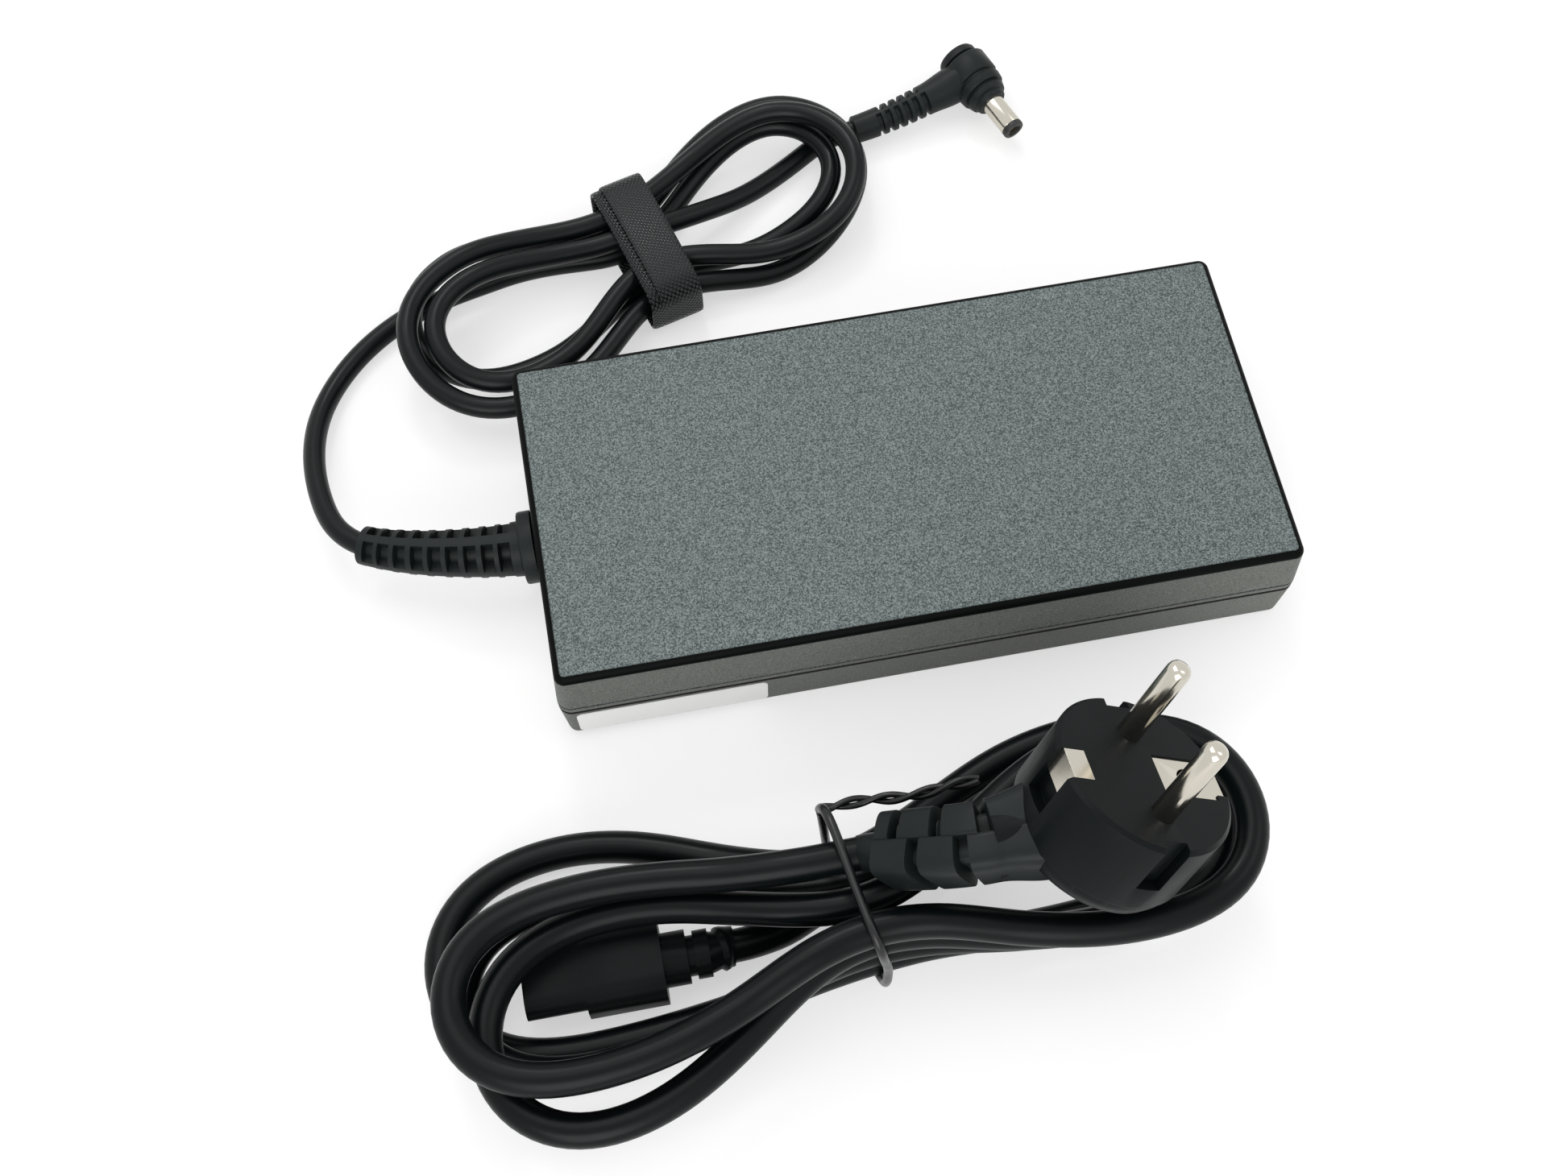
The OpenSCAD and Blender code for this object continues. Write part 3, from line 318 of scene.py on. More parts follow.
def metal(name, colour, rough, spot_mm, wander=0.05):
    """Bare or plated metal: one colour, and a roughness that wanders in small spots."""
    material, tree, shader = new_material(name)
    at = add_node(tree, "ShaderNodeTexCoord").outputs["Object"]
    fine = add_node(tree, "ShaderNodeTexNoise", {
        "Vector": at, "Scale": 1000 / spot_mm, "Detail": 3.0}).outputs["Fac"]
    gloss = add_node(tree, "ShaderNodeMapRange", {
        "Value": fine, "To Min": rough - wander, "To Max": rough + wander}).outputs["Result"]
    set_inputs(tree, shader, {"Base Color": linear(colour), "Metallic": 1.0, "Roughness": gloss})
    return material


def eroded(name, dark, light, side, grain_dark_and_painted_reflection, fleck_mm, rough, depth_mm):
    """Spark-eroded grain: pits of about `fleck_mm`, whose rims catch light as pale flecks. The
    walls are drawn out of the mould, so they are plainer and of a warmer grey. The bend between
    top and wall is painted dark as a painted dark reflection, in the same colour as the dark of
    the grain on the walls. Top, bend and wall are told apart by how far the surface's normal
    points up: 1 on the top and near 0 on a wall."""
    material, tree, shader = new_material(name)
    at = add_node(tree, "ShaderNodeTexCoord").outputs["Object"]
    pits = add_node(tree, "ShaderNodeTexNoise", {
        "Vector": at, "Scale": 1000 / fleck_mm, "Detail": 3.0, "Roughness": 0.7}).outputs["Fac"]
    wear_mm, wander = 40, 0.04
    broad = add_node(tree, "ShaderNodeTexNoise", {
        "Vector": at, "Scale": 1000 / wear_mm, "Detail": 2.0}).outputs["Fac"]
    rims = add_node(tree, "ShaderNodeMapRange", {
        "Value": pits, "From Min": 0.4, "From Max": 0.64}).outputs["Result"]
    top = add_node(tree, "ShaderNodeMix", {
        0: rims, 6: linear(dark), 7: linear(light)}, data_type="RGBA").outputs[2]
    wall_flecks = add_node(tree, "ShaderNodeMix", {
        0: rims, 6: linear(grain_dark_and_painted_reflection), 7: linear(side)}, data_type="RGBA").outputs[2]
    plainness = 0.55
    walls = add_node(tree, "ShaderNodeMix", {
        0: plainness, 6: wall_flecks, 7: linear(side)}, data_type="RGBA").outputs[2]
    normal = add_node(tree, "ShaderNodeNewGeometry").outputs["Normal"]
    rise = add_node(tree, "ShaderNodeSeparateXYZ", {"Vector": normal}).outputs["Z"]
    # painted dark reflection: the bend, where the normal points partly up, takes the darkest colour
    painted_reflection_band = add_node(tree, "ShaderNodeMapRange", {
        "Value": rise, "From Min": 0.07, "From Max": 0.2}).outputs["Result"]
    is_top = add_node(tree, "ShaderNodeMapRange", {
        "Value": rise, "From Min": 0.975, "From Max": 0.9995}).outputs["Result"]
    lower = add_node(tree, "ShaderNodeMix", {
        0: painted_reflection_band, 6: walls, 7: linear(grain_dark_and_painted_reflection)}, data_type="RGBA").outputs[2]
    colour = add_node(tree, "ShaderNodeMix", {
        0: is_top, 6: lower, 7: top}, data_type="RGBA").outputs[2]
    gloss = add_node(tree, "ShaderNodeMapRange", {
        "Value": broad, "To Min": rough - wander, "To Max": rough + wander}).outputs["Result"]
    bump = add_node(tree, "ShaderNodeBump", {
        "Height": pits, "Distance": depth_mm * MM}).outputs["Normal"]
    set_inputs(tree, shader, {"Base Color": colour, "Roughness": gloss, "Normal": bump,
                              "Specular IOR Level": 0.06})
    return material


# %% [markdown]
# The finishes of this adapter. The housing is polycarbonate and ABS with a spark-eroded grain:
# it looks charcoal grey because each pit catches a little light. The cord jackets are soft PVC,
# extruded smooth, so they carry a long clear highlight. The plug mouldings are the same PVC with
# the matt finish of their mould.

# %% Finishes
# the darkest colour of each housing finish is the dark of the wall grain, and is also painted on the bend
# between top and wall as a painted dark reflection
housing_plastic = eroded("polycarbonate ABS, eroded grain", dark="#3c4444", light="#828b8a",
                         side="#757873", grain_dark_and_painted_reflection="#020303", fleck_mm=0.34, rough=0.5, depth_mm=0.04)
side_plastic = eroded("polycarbonate ABS, lower shell", dark="#2c3130", light="#69716f",
                      side="#757873", grain_dark_and_painted_reflection="#2a2a28", fleck_mm=0.34, rough=0.5, depth_mm=0.04)
cord_jacket = moulded("PVC cord jacket, extruded", "#070b0c", "#0a0e0f",
                      rough=0.34, grain_mm=3, depth_mm=0.03, spot_mm=25, shine=0.17)
mains_jacket = moulded("PVC mains jacket, extruded", "#040809", "#070b0c",
                       rough=0.34, grain_mm=3, depth_mm=0.03, spot_mm=30, shine=0.14)
boot_pvc = moulded("soft PVC, matt mould", "#121616", "#1a1f1f",
                   rough=0.44, grain_mm=0.5, depth_mm=0.02, spot_mm=8, shine=0.17)
plug_pvc = moulded("PVC plug moulding", "#060a0b", "#0b0f10",
                   rough=0.42, grain_mm=0.6, depth_mm=0.015, spot_mm=10, shine=0.11)
nickel = metal("nickel plate, polished", "#c9c4b8", rough=0.16, spot_mm=0.5)
spring_contact = metal("tinned contact spring", "#c9c2ad", rough=0.28, spot_mm=0.5)
label_film = moulded("label, white polyester film", "#f3f3f1", "#f8f8f6",
                     rough=0.45, grain_mm=0.3, depth_mm=0.004, spot_mm=12)
tie_coat = moulded("PVC coated tie wire", "#0a0b0c", "#101113",
                   rough=0.3, grain_mm=1.0, depth_mm=0.02, spot_mm=4, shine=0.4)
inner_black = moulded("nylon, glass filled", "#141414", "#1e1e1e",
                      rough=0.5, grain_mm=0.4, depth_mm=0.02)
print("finishes:", len(bpy.data.materials))

# %% [markdown]
# ## The housing
# Two shells meet a little below half height. Each is a rounded rectangle carried up a profile:
# at every height the profile says how far the wall is drawn in. That one idea gives the draft
# of the walls, the soft top edge, the shadow gap along the joint and the fine line above it.

# %% Rounded rectangle and shells
def rounded_ring(length, width, radius, inset, z, turns=10):
    """Points of a rounded rectangle drawn in by `inset`, one row per (inset, z) pair."""
    inset, z = np.atleast_1d(inset)[:, None], np.atleast_1d(z)[:, None]
    a = np.linspace(0, np.pi / 2, turns)
    angle = np.concatenate([a + q * np.pi / 2 for q in range(4)])
    sx = np.repeat([1, -1, -1, 1], turns)
    sy = np.repeat([1, 1, -1, -1], turns)
    r = np.maximum(radius - inset, 0.4)
    x = sx * np.maximum(length / 2 - inset - r, 0.001) + r * np.cos(angle)
    y = sy * np.maximum(width / 2 - inset - r, 0.001) + r * np.sin(angle)
    return np.stack([x, y, np.broadcast_to(z, x.shape)], -1)


def shell(profile, length=160, width=78, radius=3):
    """A wall carried up a profile of (inset, height) pairs, from its inside to its outside."""
    inset, z = np.array(profile, float).T
    return rounded_ring(length, width, radius, inset, z)


split, height, wall, floor = 13.0, 28.0, 2.6, 2.2
top_inset, edge, base_inset = 0.7, 1.7, 1.0
far_in = 30  # an inset well inside the walls; an end fan closes what is left
turn_in = [(top_inset + edge * (1 - math.cos(a)), height - edge * (1 - math.sin(a)))
           for a in np.radians(np.arange(0, 91, 9))]
ceiling = [(far_in, height - wall), (wall, height - wall), (wall, split)]
shadow_gap = [(0.55, split), (0.5, split + 0.05), (0.5, split + 0.55), (0.45, split + 0.6),
              (0.12, split + 0.6), (0.03, split + 0.65), (0, split + 0.75)]
fine_line = [(0, split + 2.1), (0.05, split + 2.18), (0.4, split + 2.2), (0.4, split + 2.5),
             (0.06, split + 2.52), (0.02, split + 2.6)]
lid = [(top_inset + edge + 1.2, height), (far_in, height)]
upper = ceiling + shadow_gap + fine_line + [(0.1, split + 4)] + turn_in + lid
inside = [(far_in, floor), (wall + base_inset, floor), (wall, split - 1), (wall, split)]
lower_side = [(0.3, split), (0.08, split - 0.08), (0, split - 0.3), (0.03, split - 0.6),
              (0.5, 0.5 * split), (0.9, 1.5)]
foot = [(1.0, 0.8), (1.2, 0.3), (1.5, 0.06), (1.9, 0), (far_in, 0)]
lower = inside + lower_side + foot
shell_sharp = 25
upper_shell = add_piece("upper_shell", *skin([shell(upper)]), "adapter", housing_plastic,
                        sharp=shell_sharp)
lower_shell = add_piece("lower_shell", *skin([shell(lower)]), "adapter", side_plastic,
                        sharp=shell_sharp)

# %% [markdown]
# The inlet's case fills a port in the end wall. Its height comes from the frame. The port is a
# rounded block a hair larger, and a Boolean modifier takes it out of both shells, so that the
# shadow gap runs up to it as on the real one.

# %% Port for the mains inlet
inlet_low, inlet_high = (np.array(corner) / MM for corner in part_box("mains_inlet"))
inlet_middle, inlet_half = (inlet_low[2] + inlet_high[2]) / 2, (inlet_high[2] - inlet_low[2]) / 2
inlet_wide, inlet_corner, play = 19.0, 3, 0.05
port_from, port_to = 70, 84
port = rounded_ring(inlet_wide + 2 * play, 2 * (inlet_half + play), inlet_corner, [0, 0],
                    [port_from, port_to])
port = np.stack([port[..., 2], port[..., 0], port[..., 1] + inlet_middle], -1)
for piece in (upper_shell, lower_shell):
    cut_out(piece, *skin([port]), shell_sharp)
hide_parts("top_shell")
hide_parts("bottom_shell")

# %% [markdown]
# ## The strain relief
# A soft sleeve that stops the cord from kinking at the housing. Its walls are cut into rows of
# windows, so that it bends evenly. The surface is one tube round a gently bent line, and its
# radius is a function of two numbers: how far along, and at what angle. In a window the radius
# steps down. Four spines between the rows of windows run the whole length.

# %% Windowed sleeves
def windowed(along, sides, r0, r1, depth, first, last, count, spine=0.28, rib=0.34, soft=0.06):
    """Radius per point and side: r0 to r1, less `depth` inside count x 4 windows between the
    fractions first and last of the length. A rib and a spine are fractions of a window's place."""
    s = np.linspace(0, 1, along)[:, None]
    a = np.linspace(0, 4, sides, endpoint=False)[None, :]
    u = (s - first) / (last - first) * count
    inside = (u > 0) & (u < count)
    across = np.abs(u % 1 - 0.5) * 2
    round_it = np.abs(a % 1 - 0.5) * 2
    w = ease((1 - rib - across) / soft + 0.5) * ease((1 - spine - round_it) / soft + 0.5)
    return r0 + (r1 - r0) * s - depth * np.where(inside, w, 0)


boot_points, boot_sides = 261, 96
boot_base = np.array([-83.0, 0.8, 14.8])
boot_end, boot_out = np.array([-117.3, 9.6, 12]), unit([-0.88, 0.46, -0.08])
boot_line = bend(boot_base, np.array([-30, 1, 0]), boot_end, 32 * boot_out, boot_points - 1)
window_depth = np.linspace(3.4, 1.7, boot_points)[:, None]
boot_radius = windowed(boot_points, boot_sides, r0=6.1, r1=4.3, depth=window_depth,
                       first=0.045, last=0.97, count=9)
flange_profile = [(0, 0), (7.4, 0), (7.8, 0.12), (8, 0.6), (8, 3.0), (0, 3.0)]
flange = turned(flange_profile, boot_base, [1, 0, 0], boot_sides)[1:-1]
strain_relief = add_piece("strain_relief", *skin([tube(boot_line, boot_radius, boot_sides), flange]),
                          "adapter", boot_pvc)
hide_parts("dc_strain_relief")

# %% [markdown]
# ## A cord wound into a hank
# Both cords are folded into a figure of two lobes and tied in the middle. A formula in turns
# gives the line: an angle runs round a stadium, the waist is drawn in, every turn lies one
# step further in or out than the last, and a layer is added where the winding reverses. The
# hank's own axes are u along it, v across it and z up.

# %% The line of a hank
def hank_line(t, start, first, per, reach, half, pitch, far, near, neck, lay, draw, climb, late,
              slide, lag, base, lift, layer, mid, turn, humps=()):
    """Points of a hank at turns t. k is how many turns in from the widest one t lies. A lobe
    reaches `reach` from the middle, is `half` wide each way and is drawn in to the waist within
    `neck`. Each layer has its own place: far is its half waist, lay moves its lobes sideways and
    draw shortens one. The cord climbs to the next layer in `climb` turns and moves over to it in
    `slide` turns. Near its middle the hank is lifted by `lift`, and humps lift it near a point."""
    turn_angle = start - 360 * t
    swing = 16
    a = np.radians(turn_angle + swing * np.sin(np.radians(2 * turn_angle)))
    x = t - first
    k = np.abs(x - 2 * per * np.round(x / (2 * per)))
    steps = lambda span, after: sum(ease((x - j * per - after) / span) for j in range(len(lay) - 1))
    n = steps(slide, lag)
    of_layer = lambda values: np.interp(n, np.arange(len(lay)), values)
    c, s = np.cos(a), np.sin(a)
    squareness = 0.09
    f = c * np.sqrt(1 + squareness) / np.sqrt(c * c + squareness)
    side = ease(f / 2 + 0.5)
    b = half[0] * (1 - side) + half[1] * side - pitch * k
    out = reach[0] * (1 - side) + reach[1] * side - pitch * k - of_layer(draw) * (1 - side)
    u = (out - b) * f + b * c
    waist = np.exp(-(u / neck) ** 2)
    w = np.where(s > 0, of_layer(far), near) - pitch * k
    laid = of_layer([q[0] for q in lay]) * (1 - side) + of_layer([q[1] for q in lay]) * side
    v = s * (b * (1 - waist) + w * waist) + laid * (1 - waist)
    lift_ends, lift_slope, hump_ends, hump_slope = 30, 20, 44, 32
    near_middle = ease((lift_ends - np.abs(u)) / lift_slope)
    z = base + lift * near_middle + layer * steps(climb, late - climb / 2)
    for hu, hv, t0, t1, high in humps:
        near_hump = ease((hump_ends - np.hypot(u - hu, v - hv)) / hump_slope)
        z = z + np.where((t < t0) | (t > t1), 0, high * near_hump)
    return on_hank(np.stack([u, v, z], -1), mid, turn)


def on_hank(q, mid, turn):
    """From a hank's own axes to the frame."""
    q, r = np.asarray(q, float), math.radians(turn)
    return np.stack([mid[0] + q[..., 0] * math.cos(r) - q[..., 1] * math.sin(r),
                     mid[1] + q[..., 0] * math.sin(r) + q[..., 1] * math.cos(r), q[..., 2]], -1)


output_hank = dict(start=121, first=1.6, per=2, reach=(62, 62), half=(23.8, 24.5), pitch=6.4,
                   far=(14.4, 14.4), near=12.6, neck=22, lay=((3.8, 3.5), (-2.7, -2.5)),
                   draw=(0, 0), climb=0.24, late=0, slide=0.24, lag=-0.18,
                   base=2.5, lift=1.3, layer=6.0, mid=(-46, 78.6), turn=21.5,
                   humps=((57, 7, -1, 9, 6), (-53, 18, 0.3, 9, 6)))
mains_hank = dict(start=90, first=1, per=1, reach=(86, 80.5), half=(25, 22.8), pitch=7.4,
                  far=(8, 8, -5.6, 10), near=16.6, neck=34,
                  lay=((6.5, 0.8), (-1, -2.4), (-14, -5.6), (-5, -8.8)), draw=(0, 0, 7, -1),
                  climb=0.34, late=0.05, slide=0.3, lag=0.05,
                  base=3.4, lift=2.4, layer=7.4, mid=(-27, -87), turn=6)


def carried_on(line, d):
    """The line with each end carried straight on by one diameter."""
    before = line[0] - d * unit(line[1] - line[0])
    after = line[-1] + d * unit(line[-1] - line[-2])
    return np.r_[[before], line, [after]]


def resampled(line, step):
    """The same line read off at even steps."""
    s = np.r_[0, np.cumsum(np.linalg.norm(np.diff(line, axis=0), axis=1))]
    at = np.linspace(0, s[-1], int(round(s[-1] / step)) + 1)
    return np.stack([np.interp(at, s, line[:, i]) for i in range(3)], -1)


def measure(line):
    """Length of a line through its points."""
    return float(np.linalg.norm(np.diff(line, axis=0), axis=1).sum())


# %% [markdown]
# ## The output cord
# It leaves the strain relief, drops to the table in one loose bend, is wound in the hank and
# comes out through the strap to its plug. All of that is one cord, so it is one tube.

# %% Output cord
output_d = 5
route_in = [boot_end, [-123, 15.4, 10.9], [-126, 23.5, 9.4], [-127.4, 33, 7.6], [-127.2, 42, 5.8],
            [-125, 51.5, 3.8], [-120.4, 60, 2.7], [-114, 67, 2.5], [-105.5, 73, 2.5], [-96, 77.3, 2.5]]
wound = carried_on(hank_line(np.linspace(0, 3.05, 600), **output_hank), output_d)
plug_start, plug_in = np.array([12, 107.3, 4.8]), unit([0.99, 0.14, 0.05])
route_out = on_hank([[0, 4.2, 9.8], [10, 2.9, 9], [20, 2.6, 7], [30, 3.2, 4.4], [40, 4.8, 2.9],
                     [50, 6.8, 2.6], [58, 7.6, 3.2]], output_hank["mid"], output_hank["turn"])
in_sleeve = 4
way_in = smooth_route([boot_end - in_sleeve * boot_out, *route_in, wound[0], wound[1]], 1)
way_out = smooth_route([wound[-2], wound[-1], *route_out, plug_start, plug_start + in_sleeve * plug_in], 1)
cord_line = resampled(np.r_[way_in[:-5], wound[1:-1], way_out[1:]], 1.6)
print("output cord, mm:", round(measure(cord_line)))
output_cord = add_piece("output_cord", *skin([tube(cord_line, output_d / 2, 20)]), "adapter", cord_jacket)
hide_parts("dc_cord_start", "dc_cord_hank", "dc_cord_end")

# %% [markdown]
# ## The barrel plug
# The head is turned about the barrel's axis, with a few rings moulded into it. The boot comes
# in from the side, with narrow slots cut into two sides of it in turn. The barrel, the ring
# that insulates it and the contact are three tubes, one inside the other.

# %% Barrel plug
joint = np.array([44, 116.5, 7.7])
barrel_dir = unit([0.38, -0.92, -0.09])
plug_end_in = unit(np.cross(np.cross(barrel_dir, [0.92, 0.38, 0.08]), barrel_dir))
back, front = -6.5, 10.0
r, barrel_r, bore_r, contact_r = 6.2, 2.75, 2.15, 1.65
socket = front - 3
head_profile = [(0, back), (r - 2.2, back), (r - 1.5, back + 0.2), (r - 1.1, back + 0.9),
                (r - 1.1, back + 2.2), (r - 1.7, back + 2.5), (r - 1.7, back + 3.1),
                (r - 0.2, back + 3.3), (r, back + 3.6), (r, back + 9.0),
                (r - 0.2, back + 9.3), (r - 0.8, back + 9.5), (r - 0.8, back + 10.1),
                (r - 0.4, back + 10.3), (r - 0.2, back + 10.6), (r - 0.4, back + 12.3),
                (r - 0.6, back + 12.6), (r - 1.4, back + 12.7), (r - 1.4, back + 13.2),
                (r - 1, back + 13.5), (r - 1.4, back + 14.7), (r - 2.2, back + 15),
                (r - 2.3, front - 0.4), (r - 2.7, front), (barrel_r, front), (barrel_r, socket),
                (0, socket)]
head = turned(head_profile, joint, barrel_dir)[1:-1]
sleeve_points, sleeve_sides = 221, 72
sleeve_line = bend(plug_start, 30 * plug_in, joint, 34 * plug_end_in, sleeve_points - 1)
s = np.linspace(0, 1, sleeve_points)[:, None]
a = np.linspace(0, 2 * np.pi, sleeve_sides, endpoint=False)[None]
sleeve_radius = 2.9 + 0.5 * ease(s / 0.015) + 0.9 * s + 0.5 * ease((s - 0.62) / 0.2)
slot_depth, slot_half, slot_step = 1.0, 0.017, 0.073
for side, first, count in ((1, 0.222, 6), (-1, 0.26, 5)):
    for at in first + slot_step * np.arange(count):
        in_slot = ease((slot_half - np.abs(s - at)) / 0.006 + 0.5) * (side * np.cos(a) > 0.1)
        sleeve_radius = sleeve_radius - slot_depth * in_slot
sleeve = tube(sleeve_line, sleeve_radius, sleeve_sides)
plug_head = add_piece("plug_head", *skin([head, sleeve]), "adapter", boot_pvc, sharp=40)
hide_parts("dc_plug_body")


def nested(name, profile, material):
    """One of the tubes that lie inside one another, turned about the barrel's axis."""
    tubes = skin([turned(profile, joint, barrel_dir)], wrap_rows=True)
    return add_piece(name, *tubes, "adapter", material, sharp=40)


barrel = nested("barrel", [
    (bore_r, front + 8.1), (bore_r, front - 2), (0.1, front - 2), (0.1, socket), (barrel_r, socket),
    (barrel_r, front + 8.0), (2.68, front + 8.1)], nickel)
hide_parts("dc_plug_barrel")
ring = nested("barrel_ring", [
    (contact_r, front - 2), (bore_r, front - 2), (bore_r, front + 8.1), (2.72, front + 8.1),
    (barrel_r, front + 8.2), (barrel_r, front + 9.1), (2.6, front + 9.4), (2.35, front + 9.5),
    (1.7, front + 9.5), (contact_r, front + 9.4)], inner_black)
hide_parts("dc_plug_insulator")
contact = nested("contact_tube", [
    (1.25, front + 8.9), (1.25, front - 1), (0.05, front - 1), (0.05, front - 2),
    (contact_r, front - 2), (contact_r, front + 8.9)], spring_contact)
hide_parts("dc_plug_contact")

# %% [markdown]
# ## The hook-and-loop strap
# A woven band round the waist of the hank, with a second layer where its end is pressed down
# on it. Each layer is a flat section carried round a rounded rectangle in the plane across the
# hank. The UV map is in millimetres, so that the weave keeps its real size.

# %% Strap
def weave(name, yarn_mm):
    """Hook-and-loop tape: nylon yarns that cross on the slant, from two sets of sine bands on the
    UV map, whose millimetres run along the tape and across it. The yarn is smooth, so it glints."""
    material, tree, shader = new_material(name)
    uv = add_node(tree, "ShaderNodeUVMap", uv_map="UVMap").outputs["UV"]
    wave_at_scale_one = 0.31
    waves = []
    for turn in (0.6, -0.9):
        place = add_node(tree, "ShaderNodeMapping", {
            "Vector": uv, "Rotation": (0, 0, turn)}).outputs["Vector"]
        waves.append(add_node(tree, "ShaderNodeTexWave", {
            "Vector": place, "Scale": wave_at_scale_one / yarn_mm, "Distortion": 0.6,
            "Detail": 1.0}).outputs["Fac"])
    over = add_node(tree, "ShaderNodeMath", {
        0: waves[0], 1: waves[1]}, operation="MULTIPLY").outputs["Value"]
    # painted light and shade on the weave: the raised yarns get the lighter colour and the hollows between
    # them the darker one, on a near black tape
    high = add_node(tree, "ShaderNodeMapRange", {
        "Value": over, "From Min": 0.3, "From Max": 0.6}).outputs["Result"]
    colour = add_node(tree, "ShaderNodeMix", {
        0: high, 6: linear("#030505"), 7: linear("#2b3335")}, data_type="RGBA").outputs[2]
    bump = add_node(tree, "ShaderNodeBump", {
        "Height": over, "Distance": 0.3 * MM}).outputs["Normal"]
    set_inputs(tree, shader, {"Base Color": colour, "Normal": bump, "Roughness": 0.2,
                              "Specular IOR Level": 0.24})
    return material


strap_weave = weave("nylon hook-and-loop tape", 0.8)


def band(width, thick, across, high, radius, z0, mid, turn, crown=0.0):
    """A flat band round a rounded rectangle, and its UV map in millimetres. The section is a
    strip with rounded corners: a cosine and a sine, each raised to a power below one. The crown
    lifts the middle of the top."""
    ring_pts = rounded_ring(across, high, radius, [0.0], [0.0], 12)[0]
    loop = resampled(np.r_[ring_pts, ring_pts[:1]], 1.2)[:-1]
    nxt = np.roll(loop, -1, 0) - np.roll(loop, 1, 0)
    out = np.stack([nxt[:, 1], -nxt[:, 0]], -1) / np.linalg.norm(nxt[:, :2], axis=1, keepdims=True)
    a = np.linspace(0, 2 * np.pi, 28, endpoint=False)
    sec_w = width / 2 * np.sign(np.cos(a)) * np.abs(np.cos(a)) ** 0.25
    sec_t = thick / 2 * np.sign(np.sin(a)) * np.abs(np.sin(a)) ** 0.6
    v = loop[:, :1] + (thick / 2 + sec_t) * out[:, :1]
    z = loop[:, 1:2] + (thick / 2 + sec_t) * out[:, 1:2]
    z = z + np.where(z > 0, crown * (1 - (2 * v / across) ** 2), 0)
    along = np.cumsum(np.linalg.norm(np.diff(np.r_[loop[-1:], loop], axis=0), axis=1))
    uv = np.stack(np.broadcast_arrays(along[:, None], sec_w[None]), -1).reshape(-1, 2)
    pts = np.stack([np.broadcast_to(sec_w[None], v.shape), v, z + z0 + high / 2], -1)
    return on_hank(pts, mid, turn), uv


strap_mid, wrap_mid = on_hank([[1.8, -0.1, 0], [3.0, -0.1, 0]], output_hank["mid"],
                              output_hank["turn"])[:, :2]
strap_turn = output_hank["turn"] - 6
strap_grid, strap_uv = band(width=13, thick=1.1, across=35.4, high=11.5, radius=2.8, z0=1.1,
                            mid=strap_mid, turn=strap_turn)
wrap_grid, wrap_uv = band(width=10.4, thick=0.6, across=36.6, high=12.9, radius=3.2, z0=0.7,
                          mid=wrap_mid, turn=strap_turn, crown=0.9)
strap = add_piece("strap", *skin([strap_grid, wrap_grid], wrap_rows=True), "adapter", strap_weave,
                  sharp=50, uv=np.r_[strap_uv, wrap_uv])
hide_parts("hook_loop_strap")

# %% [markdown]
# ## The mains lead
# A thicker cord, wound in four layers of one loop, with a plug on the top end and a small
# connector on the end below.

# %% Mains cord
face = np.array([27.1, -86.8, 53.2])
pin_dir = unit([0.473, 0.272, 0.838])
pair_dir = unit(np.cross(np.cross(pin_dir, [-0.032, 0.956, -0.292]), pin_dir))
earth_dir = np.cross(pair_dir, pin_dir)


def on_face(c, s, a):
    """A point by its place on the plug's face: towards the earth side, across and outwards."""
    return face + c * earth_dir + s * pair_dir + a * pin_dir


mains_d = 6.8
mains_wound = carried_on(hank_line(np.linspace(0, 3.992, 900), **mains_hank), mains_d)
relief_tip, relief_out = np.array([-52.5, -92, 5.4]), unit([1, -0.02, -0.12])
in_relief = 3
mains_in = smooth_route([relief_tip - in_relief * relief_out, relief_tip, [-46.6, -91.4, 4.7],
                         [-40.4, -89.9, 4.3], mains_wound[0], mains_wound[1]], 1)
mains_line = resampled(np.r_[mains_in[:-5], mains_wound[1:]], 2)[::-1]
print("mains cord, mm:", round(measure(mains_line)))
mains_cord = add_piece("mains_cord", *skin([tube(mains_line, mains_d / 2, 24)]), "mains_lead", mains_jacket)
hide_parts("mains_cord_hank", "mains_cord_start")

# %% [markdown]
# ## Mouldings and metal parts of the mains lead
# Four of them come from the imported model, whose shapes are exact. A copy of each gets a small
# bevel, because a moulded edge is never sharp, and shades smoothly.

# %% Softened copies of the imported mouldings
def softened(node_name, name, width, material, segments=3, body="mains_lead"):
    """A merged copy of a CAD node with its edges rounded by a Bevel modifier."""
    mesh = nodes[node_name].data.copy()
    mesh.name = name
    b = bmesh.new()
    b.from_mesh(mesh)
    bmesh.ops.remove_doubles(b, verts=b.verts, dist=1e-6)
    bmesh.ops.dissolve_limit(b, angle_limit=math.radians(1), verts=b.verts, edges=b.edges)
    b.to_mesh(mesh)
    b.free()
    mesh.materials.clear()
    mesh.materials.append(material)
    smooth(mesh, 35)
    piece = placed(name, mesh)
    bevel = piece.modifiers.new("edge", "BEVEL")
    bevel.width, bevel.segments = width * MM, segments
    bevel.limit_method, bevel.angle_limit = "ANGLE", math.radians(30)
    bevel.harden_normals = True
    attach(piece, body)
    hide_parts(node_name)
    print(name, "softened by", width, "mm")
    return piece


softened("mains_plug_body", "plug_moulding", 0.4, plug_pvc)
softened("mains_plug_earth", "earth_strips", 0.12, nickel, segments=2)
connector = softened("mains_connector_body", "connector_moulding", 0.3, plug_pvc)
sleeves = softened("mains_connector_contacts", "connector_sleeves", 0.1, spring_contact,
                   segments=2)

# %% [markdown]
# The relief is a blunt block that turns round at its tip and takes the cord's own round shape.
# Its section is a superellipse: |x / width| to the fifth power plus |y / height| to the fifth is
# one, which is nearly a rectangle. Slots are cut into it from two sides in turn, so it can bend.
# The two pins are turned on a lathe, with a rounded tip.

